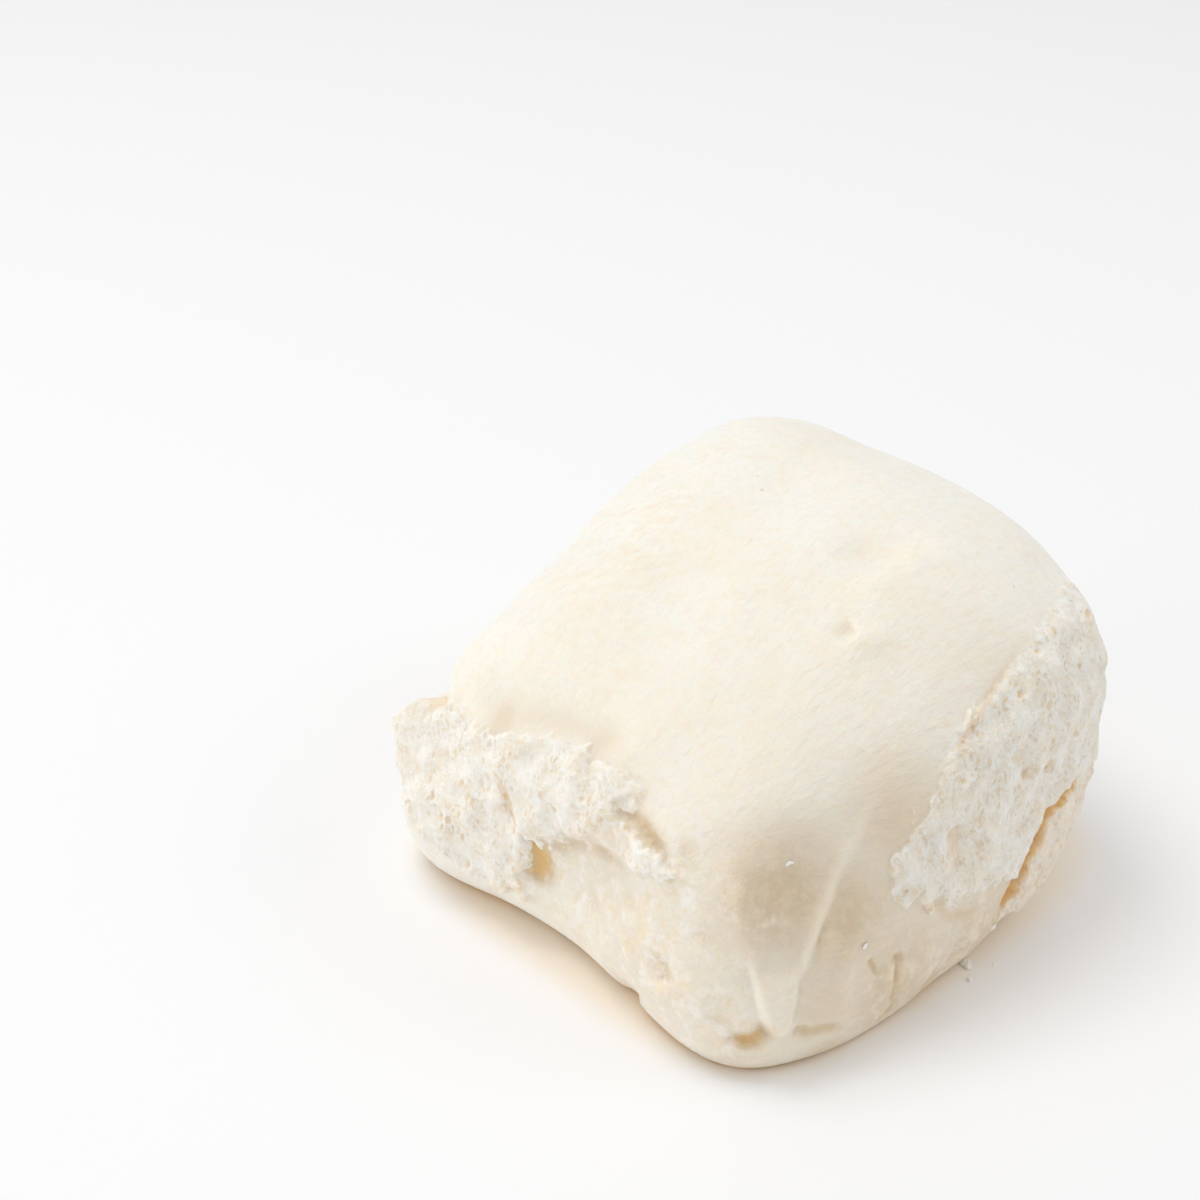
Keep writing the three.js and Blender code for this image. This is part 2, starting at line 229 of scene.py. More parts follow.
STROKES = [
    # the lip of crumb that stands out at the left corner, and the notch behind it, with painted
    # warm shade in the notch
    stroke([(-35, -34, 22.5), (-36, -36, 18)], 4, 3),
    stroke([(-32.5, -33, 20), (-32.3, -32.9, 22.4), (-32.3, -32.8, 24.6)], 2, 1.7,
           lean=(0, 0, 0.4)),
    stroke([(-32, -31, 27), (-30.4, -32.6, 27.6)], 1.8, -2.4, ragged=0.15, warm=0.35),
    stroke([(-33.2, -29.4, 25.6), (-34.4, -26.4, 26.8)], 2.3, -2.5, fade=(0, 0.5)),
    # the raised edges of the left lobe and of the flap, with painted warm shade along the flap's
    # edge
    stroke([(-6.2, -37.7, 19), (-6.8, -37.8, 15), (-7.5, -37.8, 12), (-7.2, -37.8, 9)], 1.2, 0.6,
           fade=(0.2, 0.2)),
    stroke([(0, -37.6, 25.4), (3, -37.6, 24.8), (6, -37.5, 27.4), (9, -37.5, 27.2),
           (12, -37.4, 26.2), (15, -37.4, 26.2), (19, -37.2, 26.8)], 1.1, 0.55, fade=(0.2, 0.3),
           warm=0.2, warm_width=1.6),
    # the crease between the two lobes of the left tear, and the pit at its foot, both with painted
    # shade
    stroke([(-11.6, -37.1, 27.5), (-10.8, -37.5, 24), (-9.4, -37.7, 20.8), (-7, -37.7, 19.2)],
           (0.5, 0.7), -0.55, fade=(0.3, 0.1), ragged=0.2, warm=0.35),
    stroke(left(-37.8, (-5.6, 19.4), (-5, 17.2), (-4.6, 15.2), (-4.9, 13.2), (-5.8, 10.6)),
           (1.2, 1.6), -0.6, fade=(0.15, 0.25), stain=2, stain_width=1.4),
    # the hollow that the right lobe's flap hangs over, with painted shade under the flap's edge
    stroke(left(-37, (-1, 14), (4, 19), (10, 20.5)), 4.4, -1.9),
    stroke(left(-37.8, (-3, 17), (-0.5, 20), (2, 21.4), (5, 22.4), (9, 22.4), (13, 22)), 1.2, -0.9,
           fade=(0.1, 0.3), stain=0.9, stain_width=1.2),
    stroke([(-23, -36, 17)], 7, 1.3),
    stroke([(1, -36, 28)], 5.5, 1.1),
    # the valley where the skin turns in above the left tear, and the cleft at its right, with
    # painted shade in the cleft and along the valley
    stroke([(-22, -33, 31), (-14, -31.5, 35), (-3, -30.5, 37.5), (8, -31, 37.5)], 2.6, -1.2,
           fade=(0.15, 0.3), warm=0.03),
    stroke([(9.8, -35.2, 32.9), (11.1, -35.8, 31.8), (14.2, -36, 30.8), (17.8, -36.3, 29.5),
           (20.8, -36.5, 28.7)], (1, 0.7), -0.8, fade=(0.05, 0.4), stain=1.25, stain_width=1.1),
    stroke([(-19.5, -35.5, 31.3), (-11.6, -34.4, 34.6), (-5, -33.4, 36.4), (2.8, -32.9, 37.2),
           (7.5, -32.7, 37)], 1.6, -0.3, fade=(0.2, 0.3), stain=0.4, stain_width=1.6),
    # a dent with painted shade in it, and a flaky ridge low on the left side
    stroke([(20.3, -39, 17), (21.3, -39.5, 13.5), (22, -39.6, 11.6)], 1.6, -0.9, fade=(0.4, 0.1),
           stain=0.85, stain_width=1.2),
    stroke([(17.5, -39.2, 10), (24, -39.5, 10)], 0.8, 0.5, fade=(0.3, 0.3)),
    stroke([(12, -38, 14), (16, -38.6, 9)], 0.7, 0.35, fade=(0.3, 0.3)),
    stroke([(8.5, -37, 2.5), (13, -38, 2.5), (17, -38.6, 2.5)], 2.4, -1.1, fade=(0.3, 0.3)),
    stroke([(11.9, -38, 4.2)], 0.45, 0.7),
    # the tongue of skin over the front corner: its valley, two welts and the finger at their end,
    # with painted shade beside the welt, in the pit under the finger and beside its tip, and
    # stains paled on the welt and the finger
    stroke([(30, -25, 38), (36, -28, 31), (36, -30.5, 25), (36, -31, 20)], 3.8, -2.1,
           fade=(0.4, 0)),
    stroke(left(-34, (25, 32.9), (27.3, 30.2), (29.4, 26.6), (31.1, 22.7), (32, 19.2), (33, 14.8)),
           (2.4, 0.9), 0.8, fade=(0.4, 0.2)),
    stroke([(38, -16.3, 42.8), (38, -18.9, 40.2), (38, -21.4, 36.8), (35.5, -21.6, 28),
           (36, -23.9, 24.6), (36.2, -25.8, 21.7), (36.4, -26.8, 19.9), (36.6, -27.8, 18.1),
           (37.1, -29.6, 14.7)], (1, 0.5), 0.55, fade=(0.5, 0.1), stain=-0.6, stain_width=0.5),
    stroke([(36.2, -23.2, 24.6), (36.6, -25.1, 21.6), (36.9, -26.1, 19.8), (37.1, -27.1, 18)], 0.5,
           -0.3, fade=(0.4, 0.3), stain=1.2, stain_width=0.45),
    stroke([(34.2, -30.4, 22), (34.9, -31.4, 19.2), (35.4, -32.2, 16.3), (36.2, -32.9, 12.8),
           (36.7, -33.2, 9.8)], (5, 1.5), 1.2, fade=(0.75, 0), edge=0.7, stain=-0.6,
           stain_width=2),
    stroke([(31, -38.6, 6.5), (33.2, -37.5, 7.1), (35, -35.9, 7.4), (36, -34.5, 8.8)], (0.5, 1),
           -0.9, fade=(0.5, 0), stain=2, stain_width=1.1),
    stroke([(37.4, -31.6, 8.9), (38.5, -28.6, 7.5), (39, -26.2, 7.1), (39.5, -23.5, 5.5),
           (40, -19.9, 4)], 0.8, -0.55, fade=(0.1, 0.5), stain=1.3, stain_width=0.9),
    # the undercut above the right tear, with painted warm shade along it
    stroke(right(38, (12, 53), (6.4, 48.6), (2.6, 45), (-0.2, 42.4), (-2, 39.6), (-5, 36)), 0.8,
           -0.35, fade=(0.25, 0.3), warm=0.32, warm_width=0.5),
    # the short hollows under the fringe at the tear's foot, with painted warm shade in them
    stroke(right(40.5, (-12, 20), (-7, 18), (-3.5, 13.8), (2, 13.6)), 0.8, -0.5, fade=(0.2, 0.2),
           warm=0.3),
    # the crack low in the right tear, and the hollow in its crumb, with painted warm shade in them
    stroke([(36.9, 29.1, 19.9), (38.4, 24.3, 21.3), (39.7, 17.9, 20.7), (39.9, 14.7, 17),
           (40.2, 11.6, 13.4), (40.3, 9.3, 10.8), (40.5, 7.4, 9)], (0.35, 0.5), -1,
           fade=(0.25, 0.1), ragged=0.07, warm=1, warm_width=0.8),
    stroke([(39.5, -3.4, 29), (40.6, -3, 21)], 1.3, -1.2, fade=(0.2, 0.2), warm=0.3),
    stroke([(40.2, 17, 28.4)], 0.9, -1.2, warm=0.4),
    stroke([(40.4, 10.2, 30.9)], 0.8, -1.0, warm=0.3),
    # pleats low on the right side, and a scar beside them, with painted shade in their creases
    stroke(right(39.5, (-13.4, 13.4), (-12.9, 9), (-13.3, 5.3), (-15.1, 2.8), (-17.4, 1.5)), 0.55,
           -0.8, fade=(0.1, 0.2), warm=0.3),
    stroke(right(39.5, (-15.1, 12), (-14.6, 8.5), (-15.4, 5)), 1.3, 0.5, fade=(0.2, 0.3)),
    stroke(right(39.5, (-6.6, 9.5), (-6.2, 6.4), (-6.7, 2.3)), 0.7, -0.6, fade=(0.2, 0.2),
           warm=0.12),
    stroke([(41.2, -1.5, 10), (40.6, -2.5, 4.5)], 1.0, -0.6, fade=(0.2, 0.2), warm=0.1),
    stroke(right(39.5, (-19.9, 24.9), (-24, 17.3), (-24.5, 12.6), (-24.8, 9.4)), 0.9, 0.35,
           fade=(0.3, 0.3)),
    stroke([(39.3, -19.2, 14.9), (39.8, -18.4, 12.8), (40.1, -18, 11.2)], (0.55, 0.35), -0.35,
           fade=(0.05, 0.6), stain=1.5, stain_width=0.45),
    # the small bumps and dimples of the skin on top, with painted shade in one dimple
    stroke([(11.5, 9, 52.5)], 3.2, -1.1),
    stroke([(15, 7.5, 51.7), (17, 18, 52.9)], 2.4, 0.6),
    stroke([(20.6, -2.2, 47.9), (21.5, -0.5, 48)], 1.7, 0.95),
    stroke([(16.4, -5, 47.9), (18.4, -1.4, 48.5)], 1.1, -0.5, fade=(0.7, 0.1), stain=0.5,
           stain_width=1),
    stroke([(25.3, 32.7, 47.6)], 4, -1.2),
]

# Places where the skin is browner or greyer than elsewhere, partly its own colour and partly
# painted shade in hollows, under edges, on the shoulder and at the foot: a place, its half width
# and how much.
STAINS_AND_SHADE = [
    ((34, -30, 27), 6.6, 1.12),
    ((34, -31, 20), 4, 0.6),
    ((37, -22, 21.5), 6.5, 1.0),
    ((38, -26, 10), 6, 0.7),
    ((40, -14, 8), 9, 0.95),
    ((37, -12, 32), 6, 0.7),
    ((40, 5, 6), 9, 1.1),
    ((41, 9, 2), 5, 1.3),
    ((41, -6, 1.5), 5, 1.3),
    ((38, -25, 1.5), 4, 0.9),
    ((8, -37, 19), 7, 0.3),
    ((0, -37.7, 20), 2.5, 0.5),
    ((5, -37.7, 23), 2.5, 0.5),
    ((9.5, -37.7, 22.5), 2.5, 0.4),
    ((-15, -35, 32.4), 2.4, 0.7),
    ((1.8, -32.8, 36.9), 2.3, 0.6),
    ((5.6, -38.2, 14.3), 1.1, 0.8),
    ((12.8, -38.3, 18.9), 0.8, 0.8),
    ((26.8, -37.2, 21), 1.1, 0.85),
    ((21.5, -35.1, 30.7), 1.2, 0.6),
    ((29.5, -38.3, 14), 0.9, 0.7),
    ((30.2, -38.8, 10.1), 0.9, 0.7),
    ((26, -39.1, 14.4), 1, 0.5),
    ((3, -37.4, 7.6), 1.4, 0.5),
    ((20, -38, 10), 9, 0.35),
    ((30, -36, 18), 6, 0.2),
    ((33, -36, 3), 6, 0.5),
    ((24, -25, 44), 14, 0.15),
    ((31.5, 8, 45.8), 7, 0.16),
]

# Places where the skin is rumpled and half torn: a place, its half width and how much.
RUMPLES = [
    ((4, -38, 15), 8, 1.0),
    ((16, -38, 14), 9, 1.0),
    ((26, -37, 10), 8, 0.9),
    ((27, -36, 22), 8, 0.5),
    ((-15, -37, 3), 6, 0.5),
    ((40, -15, 8), 8, 0.4),
    ((40, 0, 8), 7, 0.6),
    ((22, -36.8, 26), 3, 1.0),
    ((-27, -36, 5), 7, 0.6),
]

# The painted shade and reflection where the bun's foot meets the floor: how high it reaches, and
# how strong its brown and its warm shade are.
CONTACT_HEIGHT = 2.4
CONTACT_SHADE = 0.75
CONTACT_WARM_SHADE = 0.75

# Loose flakes of crumb: a place, half the length, and whether it lies on the skin or on the floor.
FLAKES = [
    ((35.8, -32, 34.9), 0.55, "skin"),
    ((39.5, -19.9, 17.4), 0.8, "skin"),
    ((38.9, 9, 4.1), 1.3, "skin"),
    ((38.7, 4.1, 0.4), 1.2, "floor"),
    ((41.1, 1.9, 0.3), 0.6, "floor"),
    ((41.3, 7, 0), 0.4, "floor"),
]
FLAKE_TILT = 0.2
FLAKE_NOISE_SCALE = 900.0

# -------------------- the skin's and the crumb's looks
# Patches of noise: a grain's size in millimetres, its detail and its roughness, the noise at which
# a patch starts and is full, and how strong it is.
BROAD_BLOTCHES = (22, 2, 0.55, 0.4, 0.65, 0.2)
BLOTCHES = (5, 4, 0.65, 0.45, 0.7, 0.17)
FLECKS = (1.4, 2, 0.55, 0.45, 0.7, 0.25)
DARK_RUMPLES = (3, 4, 0.65, 0.5, 0.62, 0.9)
PALE_RUMPLES = (2.4, 4, 0.7, 0.5, 0.64, 0.8)
WRINKLES = (1.2, 3, 0.6, 0.48, 0.66, 0.5)
CRUMB_GRAIN = (1.6, 5, 0.75, 0.47, 0.63, 0.3)
CRUMB_PATCHES = (5, 3, 0.55, 0.45, 0.65, 0.2)

# Where the skin on top is finely wrinkled, in millimetres, how far in metres the wrinkles are
# full and reach, how they are turned, and how the patterns are drawn out along each axis.
WRINKLES_AT = (-23, -7, 46.6)
WRINKLES_FULL = 0.004
WRINKLES_END = 0.021
WRINKLE_TURN = -0.8
WRINKLE_STRETCH = (0.25, 1, 1)
SKIN_STRETCH = (2.4, 0.8, 2.4)
CRUMB_STRETCH = (1.25, 1.25, 0.8)

# Heights in metres of the skin's fine relief: its swells, flecks, grain and rumples.
SKIN_SWELLS = (3.2, 3, 0.6)
SKIN_GRAIN = (0.5, 3, 0.55)
SWELL_HEIGHT = 0.0005
FLECK_HEIGHT = 0.00008
GRAIN_HEIGHT = 0.00004
RUMPLE_HEIGHT = 0.0008
CRUMB_FUZZ = (0.4, 2, 0.55)
FUZZ_HEIGHT = 0.00015
CRUMB_GRAIN_DEPTH = 0.00016

# Cavities between the crumb's thin walls: their size in millimetres, how far from the walls they
# start and are deep, the size of the patches that have them, the noise at which a patch starts and
# is full, how strong the tan shade painted in them is, and their depth in metres.
CAVITIES = [
    (1.2, 0.12, 0.36, 4, 0.44, 0.6, 0.85, 0.00016),
    (0.5, 0.08, 0.36, 2.2, 0.4, 0.6, 0.65, 0.0001),
]
CAVITY_PATCH_NOISE = (2, 0.55)
CAVITY_BEND_SCALE = 1300.0
CAVITY_BEND = 0.0012
# How much painted tan shade the low places between the crumb's tufts take.
LOW_SHADE = 0.2
# The share of warm shade at which the painted warm shade is full.
WARMEST_SHADE = 0.85

# The uneven line where the skin gives way to the crumb.
TORN_EDGE_NOISE = (1.3, 3, 0.65)
TORN_EDGE_REACH = 1.2
TORN_EDGE_SPAN = (0.4, 0.6)

# Tiny brown specks on the skin: how much of a speck is its full colour, and how strong that is,
# then each one's place and half width in millimetres.
SPECK_COLOUR = (0.42, 0.27, 0.13)
SPECK_CORE = 0.3
SPECK_STRENGTH = 0.8
SPECKS = [
    ((-13, 10.6, 53.1), 0.5),
    ((-10.1, 8.4, 52.7), 0.7),
    ((-20.7, 5.5, 50.6), 0.45),
    ((-15.4, 0.2, 49.5), 0.45),
    ((-4.9, -1.2, 49.9), 0.5),
    ((7, -23.1, 41.5), 0.5),
    ((25.3, 10.5, 49.4), 0.45),
    ((27.3, 18.7, 49.3), 0.4),
]

# The crumb's relief in the mesh: how it bends in metres, how its fibres and pores are drawn out,
# how fine they are against its tufts and larger pores, and where each starts and is full.
TUFT_BEND = 0.0011
SIDEWAYS = 0.0002
FIBRE_STRETCH = (1.0, 1.0, 0.75)
FIBRES_PER_TUFT = 3.6
SMALL_PER_PORE = 2.3
FIELDS_PER_PORE = 0.35
RELIEF_SPAN = (0.3, 0.95)
PORE_SPAN = (0.08, 0.28)
PORE_UNEVENNESS = 0.25
PORE_FIELD_SPAN = (0.42, 0.52)
SMALL_PORE_SPAN = (0.08, 0.36)
SMALL_PORE_DEPTH = 0.4
LOW_SPAN = (0.36, 0.56)

# The middle of a noise's colours, and a far corner of the floor, below which nothing may lie.
MIDDLE_GREY = (0.5, 0.5, 0.5)
FLOOR_CORNER = (-1.0, -1.0, 0.0)


# -------------------- small maths
def random_numbers(seed):
    """The numbers from 0 to 1 of a plain multiplying generator."""
    state = seed
    while True:
        state = state * MULTIPLIER % MODULUS
        yield state / MODULUS


def make_waves(seed, wavelength):
    """A smooth uneven field: a sum of sine waves that run in seeded directions."""
    draw = random_numbers(seed)
    vectors, phases = [], []
    for _ in range(WAVES):
        up = 2 * next(draw) - 1
        turn = math.tau * next(draw)
        flat = math.sqrt(1 - up * up)
        rate = math.tau / wavelength * (LEAST_RATE + MORE_RATE * next(draw))
        vectors.append((rate * flat * math.cos(turn), rate * flat * math.sin(turn), rate * up))
        phases.append(math.tau * next(draw))
    vectors, phases = np.array(vectors), np.array(phases)
    return lambda p: math.sqrt(2 / WAVES) * np.sin(p @ vectors.T + phases).sum(axis=1)


tufts = make_waves(SEED, TUFT_WAVE)
ragged_along = make_waves(SEED + 1, RAGGED_WAVE)
ragged_up = make_waves(SEED + 2, RAGGED_WAVE)
skin_waves = make_waves(SEED + 3, SKIN_WAVE)
frayed_along = make_waves(SEED + 4, FRAYED_WAVE)
frayed_up = make_waves(SEED + 5, FRAYED_WAVE)


def bell(distance, width):
    return np.exp(-distance ** 2 / (2 * width ** 2))


def smoothstep(x, low, high):
    t = np.clip((x - low) / (high - low), 0, 1)
    return t * t * (3 - 2 * t)


def fading_in(along, share):
    """Grows from 0 to 1 over the first share of a path; with no share it is 1 all along."""
    return smoothstep(along, 0, share) if share else np.ones(len(along))


def smooth_curve(points, closed=False):
    """Points on a centripetal Catmull-Rom curve through the given ones."""
    points = np.array(points, float)
    last = len(points) if closed else len(points) - 1
    if last < 2:
        return points
    if closed:
        padded = np.vstack([points[-1:], points, points[:2]])
    else:
        padded = np.vstack([2 * points[0] - points[1], points, 2 * points[-1] - points[-2]])
    steps = POINTS_PER_CORNER * len(points)
    curve = []
    for step in range(steps + 1):
        place = last * step / steps
        k = min(int(place), last - 1)
        before, start, end, after = padded[k:k + 4]
        gaps = [max(np.linalg.norm(b - a) ** 0.5, SMALLEST_GAP)
                for a, b in ((before, start), (start, end), (end, after))]
        leave = ((start - before) / gaps[0] - (end - before) / (gaps[0] + gaps[1])
                 + (end - start) / gaps[1])
        arrive = ((end - start) / gaps[1] - (after - start) / (gaps[1] + gaps[2])
                  + (after - end) / gaps[2])
        leave, arrive = leave * gaps[1], arrive * gaps[1]
        t = place - k
        curve.append(start + leave * t + (3 * (end - start) - 2 * leave - arrive) * t ** 2
                     + (2 * (start - end) + leave + arrive) * t ** 3)
    return np.array(curve[:-1] if closed else curve)


def nearest_on(p, a, b):
    """How far points lie from a straight line, and at which share of it each one is nearest."""
    share = np.clip((p - a) @ (b - a) / ((b - a) @ (b - a)), 0, 1)
    return np.linalg.norm(p - a - share[:, None] * (b - a), axis=1), share


def distance_to_path(p, points):
    """How far points lie from a path, and how far along it, from 0 to 1, each one is nearest."""
    if len(points) == 1:
        return np.linalg.norm(p - points[0], axis=1), np.full(len(p), 0.5)
    nearest = np.full(len(p), np.inf)
    along = np.zeros(len(p))
    for k, (a, b) in enumerate(zip(points[:-1], points[1:])):
        distance, share = nearest_on(p, a, b)
        along = np.where(distance < nearest, (k + share) / (len(points) - 1), along)
        nearest = np.minimum(nearest, distance)
    return nearest, along


def depth_inside(flat, outline):
    """How deep flat points lie inside a closed outline; negative outside it."""
    nearest = np.full(len(flat), np.inf)
    inside = np.zeros(len(flat), bool)
    for a, b in zip(outline, np.roll(outline, -1, axis=0)):
        nearest = np.minimum(nearest, nearest_on(flat, a, b)[0])
        if a[1] != b[1]:
            spans = (a[1] > flat[:, 1]) != (b[1] > flat[:, 1])
            left = flat[:, 0] < a[0] + (flat[:, 1] - a[1]) * (b[0] - a[0]) / (b[1] - a[1])
            inside ^= spans & left
    return np.where(inside, nearest, -nearest)


# -------------------- the bun's surface
def cushion(directions):
    """The plain cushion: a rounded box about the bun's heart, higher towards +y, with lumps."""
    x, y, z = directions.T
    above = z >= 0
    half_height = np.where(above, CROWN_HEIGHT - WAIST_HEIGHT, WAIST_HEIGHT + SUNK_BELOW_BASE)
    plan = np.abs(x / HALF_X) ** PLAN_SQUARENESS + np.abs(y / HALF_Y) ** PLAN_SQUARENESS
    upright = np.abs(z / half_height) ** PROFILE_SQUARENESS
    size = (plan ** (PROFILE_SQUARENESS / PLAN_SQUARENESS) + upright) ** (1 / PROFILE_SQUARENESS)
    p = directions / size[:, None]
    lean = 1 + LEAN_X * p[:, 0] / HALF_X + LEAN_Y * p[:, 1] / HALF_Y
    p[:, 2] *= np.where(above, lean, 1)
    outward = p / np.linalg.norm(p, axis=1)[:, None]
    p[:, 2] += WAIST_HEIGHT
    for centre, rise in LUMPS:
        p += outward * (rise * bell(np.linalg.norm(p - centre, axis=1), LUMP_SPREAD))[:, None]
    return p


def above_skin(points):
    """How far outside the cushion points lie, and the direction from its heart to each."""
    heart = np.array([0, 0, WAIST_HEIGHT])
    wanted = (points - heart) / np.linalg.norm(points - heart, axis=1)[:, None]
    directions = wanted.copy()
    for _ in range(SKIN_PASSES):
        reached = cushion(directions) - heart
        directions += wanted - reached / np.linalg.norm(reached, axis=1)[:, None]
    return np.linalg.norm(points - heart, axis=1) - np.linalg.norm(reached, axis=1), wanted


def onto_skin(points):
    """Brings points to the cushion's surface along the lines on which the camera sees them, unless
    it sees them edge-on or from behind."""
    eye = np.array(CAMERA_AT)
    for _ in range(SIGHT_PASSES):
        sight = (points - eye) / np.linalg.norm(points - eye, axis=1)[:, None]
        gap, outward = above_skin(points)
        slope = (sight * outward).sum(axis=1)
        step = np.where(slope < EDGE_ON, np.clip(gap / slope, -LONGEST_STEP, LONGEST_STEP), 0)
        points = points - sight * step[:, None]
    return points


for item in STROKES:
    item.points = onto_skin(smooth_curve(item.path))
for item in AREAS:
    item.curve = smooth_curve(item.outline, closed=True)


def across(item, distance, along):
    """How much of its rise a stroke has at places beside it, and how far from its bend they are,
    in its widths or edges."""
    start, end = np.broadcast_to(item.width, 2)
    width = start + (end - start) * along
    if item.edge:
        flat = smoothstep(distance, width + item.edge, width - item.edge)
        return flat, np.abs(distance - width) / item.edge
    return bell(distance, width), distance / width


def near_stroke(p, item, widths):
    """Which points may lie within so many widths of a stroke."""
    reach = widths * np.max(item.width)
    low = item.points.min(axis=0) - reach
    high = item.points.max(axis=0) + reach
    return np.flatnonzero(((p > low) & (p < high)).all(axis=1))


ALONG_AND_OUT = {"-y": (0, 1, -1), "+y": (0, 1, 1), "-x": (1, 0, -1), "+x": (1, 0, 1)}


def on_side(p, item):
    """Which points face an area's side, their flat places there, and how far out they are."""
    along, axis, sign = ALONG_AND_OUT[item.side]
    which = np.flatnonzero(sign * p[:, axis] > SIDE_REACH)
    return which, p[which][:, [along, 2]], sign * p[which, axis]


def longest_edge(p):
    """The longest edge that suits a place: short on crumb and strokes, long on plain skin."""
    edge = np.where(p[:, 2] < FOOT_HEIGHT, FOOT_EDGE, SKIN_EDGE).astype(float)
    for item in AREAS:
        which, flat, _ = on_side(p, item)
        near = which[depth_inside(flat, item.curve) > -AREA_MARGIN]
        edge[near] = np.minimum(edge[near], item.mesh)
    for item in STROKES:
        fine = max(SHORTEST_EDGE, EDGE_PER_WIDTH * (item.edge or np.min(item.width)))
        which = near_stroke(p, item, STROKE_WIDTHS)
        _, bend = across(item, *distance_to_path(p[which], item.points))
        near = which[bend < STROKE_WIDTHS]
        edge[near] = np.minimum(edge[near], fine)
    edge[p[:, 2] < 0] = BASE_EDGE
    return edge


def starting_mesh():
    """The faces of a cube as triangles of directions, eased so that they are even over a ball."""
    steps = np.linspace(-1, 1, START_DIVISIONS + 1)
    known, corners, triangles = {}, [], []

    def number(point):
        key = tuple(round(v, 3) for v in point)
        if key not in known:
            known[key] = len(corners)
            corners.append([math.tan(v * math.pi / 4) for v in point])
        return known[key]

    for axis in range(3):
        for sign in (-1, 1):
            for u0, u1 in zip(steps[:-1], steps[1:]):
                for v0, v1 in zip(steps[:-1], steps[1:]):
                    ring = []
                    for u, v in ((u0, v0), (u1, v0), (u1, v1), (u0, v1))[::sign]:
                        point = [0, 0, 0]
                        point[axis], point[(axis + 1) % 3], point[(axis + 2) % 3] = sign, u, v
                        ring.append(number(point))
                    triangles += [(ring[0], ring[1], ring[2]), (ring[0], ring[2], ring[3])]
    corners = np.array(corners)
    return corners / np.linalg.norm(corners, axis=1)[:, None], np.array(triangles)


def refine(directions, triangles, points):
    """Splits every edge that is too long, and the longest of each triangle that this touches."""
    ends = np.stack([triangles, np.roll(triangles, -1, axis=1)], axis=2).reshape(-1, 2)
    ends = np.sort(ends, axis=1)
    keys, first, which = np.unique(ends[:, 0] * len(points) + ends[:, 1], return_index=True,
                                   return_inverse=True)
    a, b = ends[first].T
    length = np.linalg.norm(points[a] - points[b], axis=1)
    is_long = length > longest_edge((points[a] + points[b]) / 2)
    sides = which.reshape(-1, 3)
    longest = sides[np.arange(len(sides)), length[sides].argmax(axis=1)]
    marked = 0
    while is_long.sum() > marked:
        marked = is_long.sum()
        is_long[longest[is_long[sides].any(axis=1)]] = True
    middle = np.full(len(keys), -1)
    middle[is_long] = len(directions) + np.arange(is_long.sum())
    added = directions[a[is_long]] + directions[b[is_long]]
    directions = np.vstack([directions, added / np.linalg.norm(added, axis=1)[:, None]])
    cuts = middle[which].reshape(-1, 3)
    count = (cuts >= 0).sum(axis=1)

    def turned(rows, start):
        """The corners and cuts of some triangles, from the corner at which each is to start."""
        order = (start[:, None] + np.arange(3)) % 3
        line = np.arange(len(rows))[:, None]
        return triangles[rows][line, order].T, cuts[rows][line, order].T

    finer = [triangles[count == 0]]
    rows = np.flatnonzero(count == 1)
    (p, q, r), (m, _, _) = turned(rows, (cuts[rows] >= 0).argmax(axis=1))
    finer += [np.c_[p, m, r], np.c_[m, q, r]]
    rows = np.flatnonzero(count == 2)
    uncut = (cuts[rows] < 0).argmax(axis=1)
    (p, q, r), (_, m, n) = turned(rows, uncut)
    from_m = (sides[rows, (uncut + 1) % 3] == longest[rows])[:, None]
    finer += [np.c_[m, r, n], np.where(from_m, np.c_[p, q, m], np.c_[p, q, n]),
              np.where(from_m, np.c_[p, m, n], np.c_[q, m, n])]
    rows = np.flatnonzero(count == 3)
    (p, q, r), (m, n, o) = turned(rows, np.zeros(len(rows), int))
    finer += [np.c_[p, m, o], np.c_[m, q, n], np.c_[o, n, r], np.c_[m, n, o]]
    return directions, np.vstack(finer), is_long.any()


def normals_of(points, triangles):
    a, b, c = (points[triangles[:, k]] for k in range(3))
    facing = np.cross(b - a, c - a)
    normals = np.zeros_like(points)
    for k in range(3):
        for axis in range(3):
            normals[:, axis] += np.bincount(triangles[:, k], facing[:, axis], len(points))
    return normals / np.linalg.norm(normals, axis=1)[:, None]


def raise_to(values, which, least):
    values[which] = np.maximum(values[which], least)


def strongest(p, spots):
    """How strong the strongest of some round spots is at each point."""
    return np.max([strength * bell(np.linalg.norm(p - place, axis=1), width)
                   for place, width, strength in spots], axis=0)


